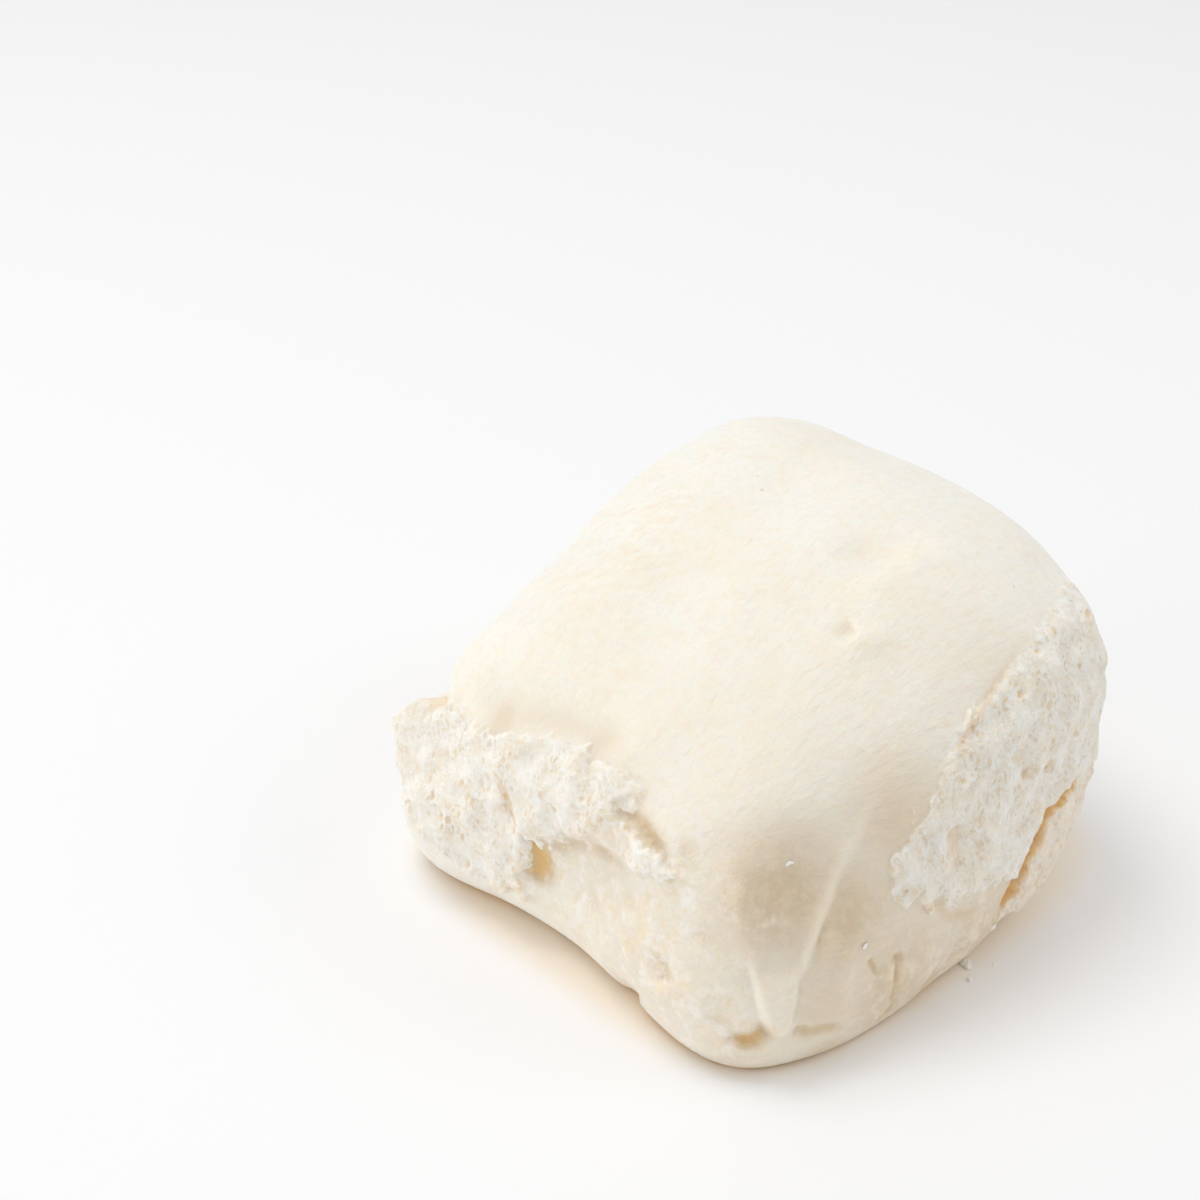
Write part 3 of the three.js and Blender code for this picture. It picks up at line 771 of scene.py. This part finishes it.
def relief(p, normals):
    """How far each point moves, and its shares of torn crumb, painted warm shade, stain with
    painted shade mixed in, and rumpled skin.
    """
    move = normals * (SKIN_UNEVENNESS * skin_waves(p))[:, None]
    crumb, warm, stain, paler = np.zeros((4, len(p)))
    for item in AREAS:
        which, flat, out = on_side(p, item)
        place = p[which]
        flat = flat + item.ragged * np.c_[ragged_along(place), ragged_up(place)]
        near = depth_inside(flat, item.curve) > -AREA_REACH
        which, flat, out, place = which[near], flat[near], out[near], place[near]
        flat = flat + FRAYED_SHARE * np.c_[frayed_along(place), frayed_up(place)]
        depth = depth_inside(flat, item.curve)
        reach = smoothstep(out, SIDE_REACH, SIDE_REACH + SIDE_FADE)
        share = reach * smoothstep(depth, -item.edge, item.edge)
        rim = item.rim * bell(depth - RIM_WIDTH, RIM_WIDTH)
        rise = share * (item.rise + rim + TUFT_HEIGHT * tufts(place))
        move[which] += normals[which] * rise[:, None]
        raise_to(crumb, which, reach * smoothstep(depth, -TORN_FADE, TORN_FADE))
        raise_to(warm, which, item.warm * share)
    for item in STROKES:
        which = near_stroke(p, item, BELL_WIDTHS)
        place = p[which]
        frayed = item.ragged * np.c_[frayed_along(place), frayed_along(place[:, [1, 2, 0]]),
                                     frayed_up(place)]
        distance, along = distance_to_path(place + frayed, item.points)
        grow, die = item.fade
        full = fading_in(along, grow) * fading_in(1 - along, die)
        share, _ = across(item, distance, along)
        direction = normals[which] + np.array(item.lean)
        move[which] += direction * (item.rise * full * share)[:, None]
        if item.warm_width:
            share = bell(distance, item.warm_width)
        raise_to(warm, which, item.warm * full * share)
        # A stroke's stain is browner skin with painted shade; below 0 it pales the other stains.
        if item.stain:
            share = item.stain * full * bell(distance, item.stain_width)
            raise_to(stain, which, share)
            paler[which] = np.minimum(paler[which], share)
    # Painted shade and reflection at the foot: warm shade lowest, brown a little higher.
    warm = np.maximum(warm, CONTACT_WARM_SHADE * smoothstep(p[:, 2], CONTACT_HEIGHT / 2, 0))
    stain = np.maximum(stain, CONTACT_SHADE * smoothstep(p[:, 2], CONTACT_HEIGHT, 0))
    stain = np.maximum(stain, strongest(p, STAINS_AND_SHADE)) * (1 + paler)
    shares = {"crumb": crumb, "warm": warm, "stain": stain, "rumple": strongest(p, RUMPLES)}
    return move, shares


def bun_surface():
    """The bun's points in metres, its triangles, and the shares that its points keep."""
    directions, triangles = starting_mesh()
    points = cushion(directions)
    for _ in range(REFINING_PASSES):
        directions, triangles, changed = refine(directions, triangles, points)
        points = np.vstack([points, cushion(directions[len(points):])])
        if not changed:
            break
    move, shares = relief(points, normals_of(points, triangles))
    points = points + move
    points[:, 2] = np.maximum(points[:, 2], 0)
    return points * MM, triangles, shares


def move_to_solid(points, node):
    """The step that brings points from the bun's own frame to where its solid stands."""
    low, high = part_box(node)
    middle = (points.min(axis=0) + points.max(axis=0)) / 2
    return np.array([(low.x + high.x) / 2 - middle[0], (low.y + high.y) / 2 - middle[1], 0])


# -------------------- node trees
def sums(operation):
    """An operator of wires and its reflected form, which add a Math node to the wires' tree."""
    return (lambda wire, other: wire.nodes.sum(operation, wire, other),
            lambda wire, other: wire.nodes.sum(operation, other, wire))


class Wire:
    """One output of a node tree. Sums on it add Math nodes to that tree."""

    __add__, __radd__ = sums("ADD")
    __sub__, __rsub__ = sums("SUBTRACT")
    __mul__, __rmul__ = sums("MULTIPLY")

    def __init__(self, nodes, socket):
        self.nodes = nodes
        self.socket = socket

    def eased(self, low, high):
        """0 at low, 1 at high, eased between them."""
        return self.nodes.add("ShaderNodeMapRange", {"interpolation_type": "SMOOTHSTEP"},
                              {"Value": self, "From Min": low, "From Max": high})


class Nodes:
    """Adds nodes to one tree by their type, settings and socket values."""

    def __init__(self, tree):
        self.tree = tree

    def add(self, kind, settings=None, inputs=None, output=0):
        node = self.tree.nodes.new(kind)
        for name, value in (settings or {}).items():
            setattr(node, name, value)
        for name, value in (inputs or {}).items():
            if isinstance(value, Wire):
                self.tree.links.new(value.socket, node.inputs[name])
            else:
                node.inputs[name].default_value = value
        return Wire(self, node.outputs[output]) if node.outputs else node

    def sum(self, operation, *terms):
        return self.add("ShaderNodeMath", {"operation": operation}, dict(enumerate(terms)))

    def vector(self, operation, *terms, **named):
        """A Vector Math node. Distances and lengths leave by its second output."""
        return self.add("ShaderNodeVectorMath", {"operation": operation},
                        {**dict(enumerate(terms)), **named},
                        output=operation in ("DISTANCE", "LENGTH"))

    def mix_colours(self, share, first, second):
        """A Mix node on colours. Its colour sockets are the third pair of A and B."""
        return self.add("ShaderNodeMix", {"data_type": "RGBA"}, {0: share, 6: first, 7: second},
                        output=2)

    def texture(self, kind, place, scale, settings=None, output=0, **more):
        """A texture node of a kind, such as Noise."""
        return self.add("ShaderNodeTex" + kind, settings,
                        {"Vector": place, "Scale": scale, **more}, output)

    def drift(self, place, scale, detail):
        """A vector that wanders either way about nothing, from the colours of a noise."""
        noise = self.texture("Noise", place, scale, output=1, Detail=detail)
        return self.vector("SUBTRACT", noise, MIDDLE_GREY)

    def bump(self, height):
        return self.add("ShaderNodeBump", None, {"Height": height, "Distance": 1.0})


class DoughNodes(Nodes):
    """Nodes of the dough's material, with the place and the shares that the mesh keeps."""

    def __init__(self, tree):
        super().__init__(tree)
        self.place = self.add("ShaderNodeTexCoord", output=3)
        self.share = {name: self.add("ShaderNodeAttribute", {"attribute_name": name}, output=2)
                      for name in ("crumb", "warm", "stain", "rumple", "pore", "low")}

    def noise(self, size, detail, roughness, place=None):
        """Noise of a given size in millimetres."""
        return self.texture("Noise", place or self.place, 1 / (size * MM), Detail=detail,
                            Roughness=roughness)

    def patches(self, sizes, place=None):
        """Patches of noise, from 0 to their strength."""
        size, detail, roughness, low, high, strength = sizes
        return self.noise(size, detail, roughness, place).eased(low, high) * strength


def new_material(name, nodes=Nodes):
    """A material with an empty tree, and what adds nodes to it."""
    material = bpy.data.materials.new(name)
    material.use_nodes = True
    material.node_tree.nodes.clear()
    return material, nodes(material.node_tree)


def rgb(colour):
    return (*colour, 1)


def metres(place):
    return tuple(v * MM for v in place)


def in_scene(place):
    """Where a place in the bun's own frame lies in the scene, in metres."""
    return (Vector(place) - Vector((*FRAME_MIDDLE, 0))) * MM


# -------------------- settings
def colour(name, description, default):
    return FloatVectorProperty(name=name, description=description, default=default,
                               subtype="COLOR")


def length(name, description, default, least=0):
    return FloatProperty(name=name, description=description, default=default, unit="LENGTH",
                         min=least)


def factor(name, description, default):
    return FloatProperty(name=name, description=description, default=default, subtype="FACTOR",
                         min=0.1, max=1)


def power(name, description, default):
    return FloatProperty(name=name, description=description, default=default, unit="POWER", min=0)


class BunSettings(bpy.types.PropertyGroup):
    tuft_size: length("Tuft size", "Length of one tuft of torn crumb", 0.0024, 0.0005)
    tuft_height: length("Tuft height", "How far tufts of torn crumb stand out", 0.00016)
    fibre_height: length("Fibre height", "How far the crumb's fine fibres stand out", 0.00018)
    pore_size: length("Pore spacing", "Distance from one pore of the crumb to the next", 0.0026,
                      0.0003)
    pore_depth: length("Pore depth", "Depth of the crumb's larger pores", 0.0003)
    skin_colour: colour("Skin", "Colour of the smooth skin", (0.93, 0.885, 0.805))
    # Colour of the browner skin and of the shade painted into it.
    stain_and_shade_colour: colour("Stain", "Colour of the browner skin low on the bun",
                         (0.70, 0.578, 0.415))
    mottle_colour: colour("Mottling", "Colour of the skin's darker blotches", (0.89, 0.78, 0.61))
    crumb_colour: colour("Crumb", "Colour of the torn crumb", (1.0, 0.903, 0.848))
    # Colour of the tan shade painted in the crumb's pores, cavities and low places.
    pore_shade_colour: colour("Pores", "Colour in the crumb's pores", (0.915, 0.725, 0.50))
    # Colour of the warm shade painted deep in pits, cracks and grooves.
    warm_shade_colour: colour("Warm shade", "Colour deep in pits and cracks", (0.78, 0.54, 0.25))


class FlakeSettings(bpy.types.PropertyGroup):
    breadth: factor("Breadth", "A flake's breadth as a share of its length", 0.5)
    thickness: factor("Thickness", "A flake's thickness as a share of its length", 0.18)
    raggedness: length("Raggedness", "How unevenly a flake is torn", 0.0011)
    colour: colour("Flake colour", "Colour of the loose flakes", (0.96, 0.93, 0.88))
    seed: IntProperty(name="Seed", description="Turns the flakes another way", default=7, min=0)


class StageSettings(bpy.types.PropertyGroup):
    floor_size: length("Floor", "Side of the square floor", 4.0, 0.5)
    floor_colour: colour("Floor colour", "Colour of the plain floor", (0.955, 0.958, 0.962))
    # Colour of the warm light and shade painted on the floor at the bun's foot.
    painted_glow_colour: colour("Glow", "Colour that the bun casts on the floor at its foot",
                        (0.98, 0.84, 0.66))
    key_power: power("Key light", "Power of the high lamp at the left", 3.1)
    side_power: power("Side light", "Power of the low lamp at the left", 2.3)
    fill_power: power("Fill lamp", "Power of the low lamp at the right", 0.95)
    fill_strength: FloatProperty(name="Fill light", default=0.64, min=0,
                                 description="Strength of the even light all round")


# -------------------- materials
def skin_shader(n, settings, warm_shade_share):
    """Satin skin with faint blotches, wrinkles and specks, rumpled in places, browner in places
    with painted shade mixed in, and with orange and warm painted shade in pits and grooves.
    """
    rumple = n.share["rumple"]
    turned = n.add("ShaderNodeVectorRotate", {"rotation_type": "Z_AXIS"},
                   {"Vector": n.place, "Angle": WRINKLE_TURN})
    wrinkles = n.patches(WRINKLES, n.vector("MULTIPLY", turned, WRINKLE_STRETCH))
    away = n.vector("DISTANCE", n.place, metres(WRINKLES_AT))
    mottle = n.patches(BROAD_BLOTCHES) + n.patches(BLOTCHES) + n.patches(FLECKS)
    mottle = mottle + rumple * n.patches(DARK_RUMPLES)
    mottle = mottle + (1 - away.eased(WRINKLES_FULL, WRINKLES_END)) * wrinkles
    # Browner skin and painted shade, from the stain share.
    skin = n.mix_colours(n.share["stain"], rgb(settings.skin_colour), rgb(settings.stain_and_shade_colour))
    skin = n.mix_colours(mottle, skin, rgb(settings.mottle_colour))
    skin = n.mix_colours(rumple * n.patches(PALE_RUMPLES), skin, rgb(settings.crumb_colour))
    # Stains above 1 turn into an orange painted shade, as in the pits.
    skin = n.mix_colours(n.share["stain"] - 1, skin, rgb(settings.warm_shade_colour))
    for spot, size in SPECKS:
        away = n.vector("DISTANCE", n.place, metres(spot))
        speck = (1 - away.eased(SPECK_CORE * size * MM, size * MM)) * SPECK_STRENGTH
        skin = n.mix_colours(speck, skin, rgb(SPECK_COLOUR))
    swells = n.noise(*SKIN_SWELLS, n.vector("MULTIPLY", n.place, SKIN_STRETCH))
    height = swells * SWELL_HEIGHT + n.noise(*FLECKS[:3]) * FLECK_HEIGHT
    height = height + n.noise(*SKIN_GRAIN) * GRAIN_HEIGHT
    height = height - rumple * n.noise(*DARK_RUMPLES[:3]) * RUMPLE_HEIGHT
    return n.add("ShaderNodeBsdfPrincipled", None, {
        # Painted warm shade deep in pits, cracks and grooves, and at the foot.
        "Base Color": n.mix_colours(warm_shade_share, skin, rgb(settings.warm_shade_colour)),
        "Roughness": 0.5,
        "Normal": n.bump(height),
        "Specular IOR Level": 0.15,
        "Subsurface Weight": 1.0,
        "Subsurface Radius": (1.0, 0.8, 0.6),
        "Subsurface Scale": 0.0013,
    })


def crumb_shader(n, settings, warm_shade_share):
    """Matt white crumb, with tan shade painted in its pores, its cavities and the places between
    its tufts, and tan in random patches.
    """
    upright = n.vector("MULTIPLY", n.place, CRUMB_STRETCH)
    bend = n.vector("SCALE", n.drift(n.place, CAVITY_BEND_SCALE, 2.0), Scale=CAVITY_BEND)
    woven = n.vector("ADD", upright, bend)
    # Painted tan shade in the low places, pores and cavities, with random tan patches.
    tan = n.share["low"] * LOW_SHADE + n.patches(CRUMB_GRAIN, upright) + n.patches(CRUMB_PATCHES)
    tan = n.sum("MAXIMUM", n.share["pore"], tan)
    height = n.noise(*CRUMB_FUZZ) * FUZZ_HEIGHT
    height = height - n.noise(*CRUMB_GRAIN[:3], upright) * CRUMB_GRAIN_DEPTH
    for size, wall, deep, patch, low, high, strength, depth in CAVITIES:
        walls = n.texture("Voronoi", woven, 1 / (size * MM), {"feature": "DISTANCE_TO_EDGE"})
        patches = n.noise(patch, *CAVITY_PATCH_NOISE)
        cavity = walls.eased(wall, deep) * patches.eased(low, high)
        tan = n.sum("MAXIMUM", cavity * strength, tan)
        height = height - cavity * depth
    inner = n.mix_colours(tan, rgb(settings.crumb_colour), rgb(settings.pore_shade_colour))
    return n.add("ShaderNodeBsdfPrincipled", None, {
        # Painted warm shade in the crumb's cracks, creases and grooves.
        "Base Color": n.mix_colours(warm_shade_share, inner, rgb(settings.warm_shade_colour)),
        "Roughness": 0.9,
        "Normal": n.bump(height),
        "Specular IOR Level": 0.1,
        "Subsurface Weight": 1.0,
        "Subsurface Radius": (1.0, 0.9, 0.8),
        "Subsurface Scale": 0.0005,
    })


def bread_material(settings):
    """Steamed dough: satin skin, which gives way to matt white crumb where it is torn."""
    material, n = new_material("steamed_dough", DoughNodes)
    # Warm shade is painted into the colour of both the skin and the crumb.
    warm_shade_share = n.share["warm"].eased(0, WARMEST_SHADE)
    crumb = n.share["crumb"]
    rim = crumb * (1 - crumb) * 4
    torn = crumb + (n.noise(*TORN_EDGE_NOISE) - 0.5) * rim * TORN_EDGE_REACH
    mixed = n.add("ShaderNodeMixShader", None, {
        0: torn.eased(*TORN_EDGE_SPAN),
        1: skin_shader(n, settings, warm_shade_share),
        2: crumb_shader(n, settings, warm_shade_share),
    })
    n.add("ShaderNodeOutputMaterial", None, {"Surface": mixed})
    return material


def floor_material(settings):
    """A plain pale floor, a little warmer round the bun's foot: painted warm light that it takes
    up from the bun, and painted shade.
    """
    material, n = new_material("pale_floor")
    place = n.vector("MULTIPLY", n.add("ShaderNodeTexCoord", output=3),
                     (1 / FOOT_HALF_X, 1 / FOOT_HALF_Y, 0))
    away = n.vector("LENGTH", n.vector("MULTIPLY", place, place))
    # Painted warm glow of light and shade round the bun's foot.
    glow = (1 - away.eased(GLOW_FULL, GLOW_END)) * GLOW_STRENGTH
    shader = n.add("ShaderNodeBsdfPrincipled", None, {
        "Base Color": n.mix_colours(glow, rgb(settings.floor_colour), rgb(settings.painted_glow_colour)),
        "Roughness": 0.55,
    })
    n.add("ShaderNodeOutputMaterial", None, {"Surface": shader})
    return material


def plain_material(name, base, roughness):
    material, n = new_material(name)
    shader = n.add("ShaderNodeBsdfPrincipled", None,
                   {"Base Color": rgb(base), "Roughness": roughness})
    n.add("ShaderNodeOutputMaterial", None, {"Surface": shader})
    return material


# -------------------- geometry nodes
def new_tree(name, sockets):
    """A geometry tree with its named inputs, what adds nodes to it, and the inputs' wires."""
    tree = bpy.data.node_groups.new(name, "GeometryNodeTree")
    for side in ("INPUT", "OUTPUT"):
        tree.interface.new_socket("Geometry", in_out=side, socket_type="NodeSocketGeometry")
    for label, kind in sockets.items():
        tree.interface.new_socket(label, in_out="INPUT", socket_type="NodeSocket" + kind)
    nodes = Nodes(tree)
    group_in = tree.nodes.new("NodeGroupInput")
    wires = {socket.name: Wire(nodes, socket) for socket in group_in.outputs if socket.name}
    return tree, nodes, wires


def moved_above_floor(n, geometry, offset):
    """Moves points by an offset, and lifts what then lies under the floor onto it."""
    moved = n.add("GeometryNodeSetPosition", None, {"Geometry": geometry, "Offset": offset})
    above = n.vector("MAXIMUM", n.add("GeometryNodeInputPosition"), FLOOR_CORNER)
    return n.add("GeometryNodeSetPosition", None, {"Geometry": moved, "Position": above})


def finish_tree(tree, n, geometry, material):
    real = n.add("GeometryNodeRealizeInstances", None, {"Geometry": geometry})
    finished = n.add("GeometryNodeSetMaterial", None, {"Geometry": real, "Material": material})
    tree.links.new(finished.socket, tree.nodes.new("NodeGroupOutput").inputs[0])
    return tree


def kept_value(n, name, kind="FLOAT"):
    return n.add("GeometryNodeInputNamedAttribute", {"data_type": kind}, {"Name": name})


def crumb_relief_tree():
    """Moves torn crumb along its normals: tufts, fibres and pores, whose depth it keeps."""
    tree, n, wires = new_tree("Crumb relief", {
        "Tuft Size": "Float", "Tuft Height": "Float", "Fibre Height": "Float",
        "Pore Size": "Float", "Pore Depth": "Float", "Material": "Material",
    })
    place = n.add("GeometryNodeInputPosition")
    normal = n.add("GeometryNodeInputNormal")
    crumb = kept_value(n, "crumb").eased(*RELIEF_SPAN)
    per_tuft = n.sum("DIVIDE", 1.0, wires["Tuft Size"])
    per_pore = n.sum("DIVIDE", 1.0, wires["Pore Size"])

    drift = n.drift(place, per_tuft, 1.0)
    warped = n.vector("ADD", place, n.vector("SCALE", drift, Scale=TUFT_BEND))
    drawn = n.vector("MULTIPLY", warped, FIBRE_STRETCH)

    tuft = n.texture("Noise", warped, per_tuft, Detail=2.0, Roughness=0.6)
    fibre = n.texture("Noise", drawn, per_tuft * FIBRES_PER_TUFT, Detail=1.0, Roughness=0.6)
    where = n.texture("Noise", place, per_pore * FIELDS_PER_PORE, Detail=2.0)
    ragged = n.texture("Voronoi", drawn, per_pore) + (fibre - 0.5) * PORE_UNEVENNESS
    pore = (1 - ragged.eased(*PORE_SPAN)) * where.eased(*PORE_FIELD_SPAN)
    small = n.texture("Voronoi", drawn, per_pore * SMALL_PER_PORE)
    small = (1 - small.eased(*SMALL_PORE_SPAN)) * SMALL_PORE_DEPTH
    pores = n.sum("MAXIMUM", pore, small)

    height = (tuft - 0.5) * 2.0 * wires["Tuft Height"]
    height = height + (fibre - 0.5) * 2.0 * wires["Fibre Height"]
    height = (height - pores * wires["Pore Depth"]) * crumb
    offset = n.vector("ADD", n.vector("SCALE", normal, Scale=height),
                      n.vector("SCALE", drift, Scale=crumb * SIDEWAYS))
    # The low places between tufts, and the pores' depth, are kept for the crumb's painted tan
    # shade.
    low = 1 - (tuft * 0.5 + fibre * 0.5).eased(*LOW_SPAN)
    kept = moved_above_floor(n, wires["Geometry"], offset)
    for name, value in (("pore", pores), ("low", low)):
        kept = n.add("GeometryNodeStoreNamedAttribute", {"data_type": "FLOAT", "domain": "POINT"},
                     {"Geometry": kept, "Name": name, "Value": value * crumb})
    return finish_tree(tree, n, kept, wires["Material"])


def flakes_tree():
    """Lays a thin ragged flake on each point, along its facing and as large as its half length."""
    tree, n, wires = new_tree("Loose flakes", {
        "Breadth": "Float", "Thickness": "Float", "Raggedness": "Float", "Seed": "Int",
        "Material": "Material",
    })
    ball = n.add("GeometryNodeMeshIcoSphere", None, {"Radius": 1.0, "Subdivisions": 3})
    lying = n.add("FunctionNodeAlignRotationToVector", {"axis": "Z"},
                  {"Vector": kept_value(n, "facing", "FLOAT_VECTOR")})
    spin = n.add("FunctionNodeRandomValue", {"data_type": "FLOAT_VECTOR"}, {
        0: (-FLAKE_TILT, -FLAKE_TILT, 0),
        1: (FLAKE_TILT, FLAKE_TILT, math.tau),
        "Seed": wires["Seed"],
    })
    turned = n.add("FunctionNodeRotateRotation", {"rotation_space": "LOCAL"},
                   {"Rotation": lying, "Rotate By": spin})
    shape = n.add("ShaderNodeCombineXYZ", None,
                  {"X": 1.0, "Y": wires["Breadth"], "Z": wires["Thickness"]})
    flakes = n.add("GeometryNodeInstanceOnPoints", None, {
        "Points": wires["Geometry"],
        "Instance": ball,
        "Rotation": turned,
        "Scale": n.vector("SCALE", shape, Scale=kept_value(n, "half_length")),
    })
    flakes = n.add("GeometryNodeRealizeInstances", None, {"Geometry": flakes})
    bent = n.drift(n.add("GeometryNodeInputPosition"), FLAKE_NOISE_SCALE, 3.0)
    flakes = moved_above_floor(n, flakes, n.vector("SCALE", bent, Scale=wires["Raggedness"]))
    return finish_tree(tree, n, flakes, wires["Material"])


def apply_tree(piece, tree, values):
    """Runs a geometry tree on a piece with named inputs, and keeps its result as a plain mesh."""
    modifier = piece.modifiers.new(tree.name, "NODES")
    modifier.node_group = tree
    for item in tree.interface.items_tree:
        if item.in_out == "INPUT" and item.name in values:
            modifier[item.identifier] = values[item.name]
    bpy.context.view_layer.update()
    evaluated = piece.evaluated_get(bpy.context.evaluated_depsgraph_get())
    mesh = bpy.data.meshes.new_from_object(evaluated)
    piece.modifiers.clear()
    old = piece.data
    piece.data = mesh
    bpy.data.meshes.remove(old)
    mesh.name = piece.name


# -------------------- operators
def new_piece(name, data):
    piece = bpy.data.objects.new(name, data)
    bpy.context.scene.collection.objects.link(piece)
    return piece


def keep(mesh, name, kind, values):
    """Keeps a value, or a vector, for each point of a mesh."""
    attribute = mesh.attributes.new(name, kind, "POINT")
    attribute.data.foreach_set("vector" if kind == "FLOAT_VECTOR" else "value", values)


class BREAD_OT_bun(bpy.types.Operator):
    """Make the bun: its domed skin, its torn sides and every fold and dent in them"""

    bl_idname = "bread.bun"
    bl_label = "Bun"

    def execute(self, context):
        settings = context.scene.bun
        points, triangles, shares = bun_surface()
        points += move_to_solid(points, "bun")
        mesh = bpy.data.meshes.new("steamed_bun")
        mesh.from_pydata(points.tolist(), [], triangles.tolist())
        mesh.shade_smooth()
        for name, values in shares.items():
            keep(mesh, name, "FLOAT", values.astype(np.float32))
        bun = new_piece("steamed_bun", mesh)
        apply_tree(bun, crumb_relief_tree(), {
            "Tuft Size": settings.tuft_size,
            "Tuft Height": settings.tuft_height,
            "Fibre Height": settings.fibre_height,
            "Pore Size": settings.pore_size,
            "Pore Depth": settings.pore_depth,
            "Material": bread_material(settings),
        })
        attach(bun, "root")
        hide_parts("bun")
        return {"FINISHED"}


class BREAD_OT_flakes(bpy.types.Operator):
    """Lay the loose flakes of crumb on the bun's skin and beside its foot"""

    bl_idname = "bread.flakes"
    bl_label = "Loose flakes"

    def execute(self, context):
        settings = context.scene.bun_flakes
        bun = bpy.data.objects.get("steamed_bun")
        if bun is None:
            raise RuntimeError("Make the bun before its flakes.")
        places, facings = [], []
        for place, _, lies_on in FLAKES:
            place, facing = in_scene(place), Vector((0, 0, 1))
            if lies_on == "skin":
                sight = place - in_scene(CAMERA_AT)
                _, place, facing, _ = bun.ray_cast(place - sight, sight)
            places.append(place)
            facings += list(facing)
        mesh = bpy.data.meshes.new("loose_flakes")
        mesh.from_pydata(places, [], [])
        keep(mesh, "half_length", "FLOAT", [half_length * MM for _, half_length, _ in FLAKES])
        keep(mesh, "facing", "FLOAT_VECTOR", facings)
        flakes = new_piece("loose_flakes", mesh)
        apply_tree(flakes, flakes_tree(), {
            "Breadth": settings.breadth,
            "Thickness": settings.thickness,
            "Raggedness": settings.raggedness,
            "Seed": settings.seed,
            "Material": plain_material("loose_crumb", settings.colour, 0.9),
        })
        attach(flakes, "root")
        return {"FINISHED"}


class BREAD_OT_stage(bpy.types.Operator):
    """Set the pale floor, the soft lamps and the camera"""

    bl_idname = "bread.stage"
    bl_label = "Stage"

    def execute(self, context):
        settings = context.scene.bun_stage
        half = settings.floor_size / 2
        corners = [(-half, -half, 0), (half, -half, 0), (half, half, 0), (-half, half, 0)]
        mesh = bpy.data.meshes.new("floor")
        mesh.from_pydata(corners, [], [(0, 1, 2, 3)])
        mesh.materials.append(floor_material(settings))
        new_piece("floor", mesh)

        world = bpy.data.worlds.new("white_room")
        world.use_nodes = True
        background = world.node_tree.nodes["Background"]
        background.inputs["Color"].default_value = (1.0, 1.0, 1.0, 1)
        background.inputs["Strength"].default_value = settings.fill_strength
        context.scene.world = world

        for name, (turn, height) in LAMPS.items():
            self.lamp(name, turn, height, getattr(settings, name + "_power"))
        self.camera(context.scene)
        context.scene.view_settings.view_transform = "Standard"
        return {"FINISHED"}

    @staticmethod
    def lamp(name, turn, height, watts):
        """A lamp, turned so many degrees to the right of the camera and so many degrees up."""
        light = bpy.data.lights.new(name, "AREA")
        light.shape = "DISK"
        light.size = LAMP_SIZE
        light.energy = watts
        towards = Vector(CAMERA_AT) - Vector(CAMERA_AIM)
        towards = Vector((towards.x, towards.y, 0)).normalized()
        turned = Matrix.Rotation(math.radians(turn), 3, "Z") @ towards
        at = turned * math.cos(math.radians(height))
        at.z = math.sin(math.radians(height))
        lamp = new_piece(name, light)
        lamp.location = at
        lamp.rotation_euler = (Vector(LAMPS_AIM) - at).to_track_quat("-Z", "Y").to_euler()

    @staticmethod
    def camera(scene):
        data = bpy.data.cameras.new("camera")
        data.lens = LENS
        data.sensor_width = SENSOR
        data.clip_start = CLIP_START
        camera = new_piece("camera", data)
        at = in_scene(CAMERA_AT)
        forward = (in_scene(CAMERA_AIM) - at).normalized()
        right = forward.cross(Vector((0, 0, 1))).normalized()
        upward = right.cross(forward)
        turn = Matrix.Rotation(math.radians(-CAMERA_ROLL), 3, forward)
        right, upward = turn.transposed() @ right, turn.transposed() @ upward
        camera.matrix_world = Matrix((right, upward, -forward)).transposed().to_4x4()
        camera.location = at
        scene.camera = camera


class BREAD_PT_panel(bpy.types.Panel):
    """The bun's pieces and their settings"""

    bl_label = "Steamed bun"
    bl_idname = "BREAD_PT_panel"
    bl_space_type = "VIEW_3D"
    bl_region_type = "UI"
    bl_category = "Bun"

    def draw(self, context):
        scene = context.scene
        for group, operator in ((scene.bun, "bread.bun"), (scene.bun_flakes, "bread.flakes"),
                                (scene.bun_stage, "bread.stage")):
            box = self.layout.box()
            for name in group.bl_rna.properties.keys():
                if name not in ("rna_type", "name"):
                    box.prop(group, name)
            box.operator(operator)


GROUPS = {"bun": BunSettings, "bun_flakes": FlakeSettings, "bun_stage": StageSettings}
CLASSES = (*GROUPS.values(), BREAD_OT_bun, BREAD_OT_flakes, BREAD_OT_stage, BREAD_PT_panel)


def register():
    for item in CLASSES:
        bpy.utils.register_class(item)
    for name, group in GROUPS.items():
        setattr(bpy.types.Scene, name, PointerProperty(type=group))


def unregister():
    for name in GROUPS:
        delattr(bpy.types.Scene, name)
    for item in reversed(CLASSES):
        bpy.utils.unregister_class(item)


def main():
    register()
    bpy.ops.bread.stage()
    bpy.ops.bread.bun()
    bpy.ops.bread.flakes()


if __name__ == "__main__":
    main()
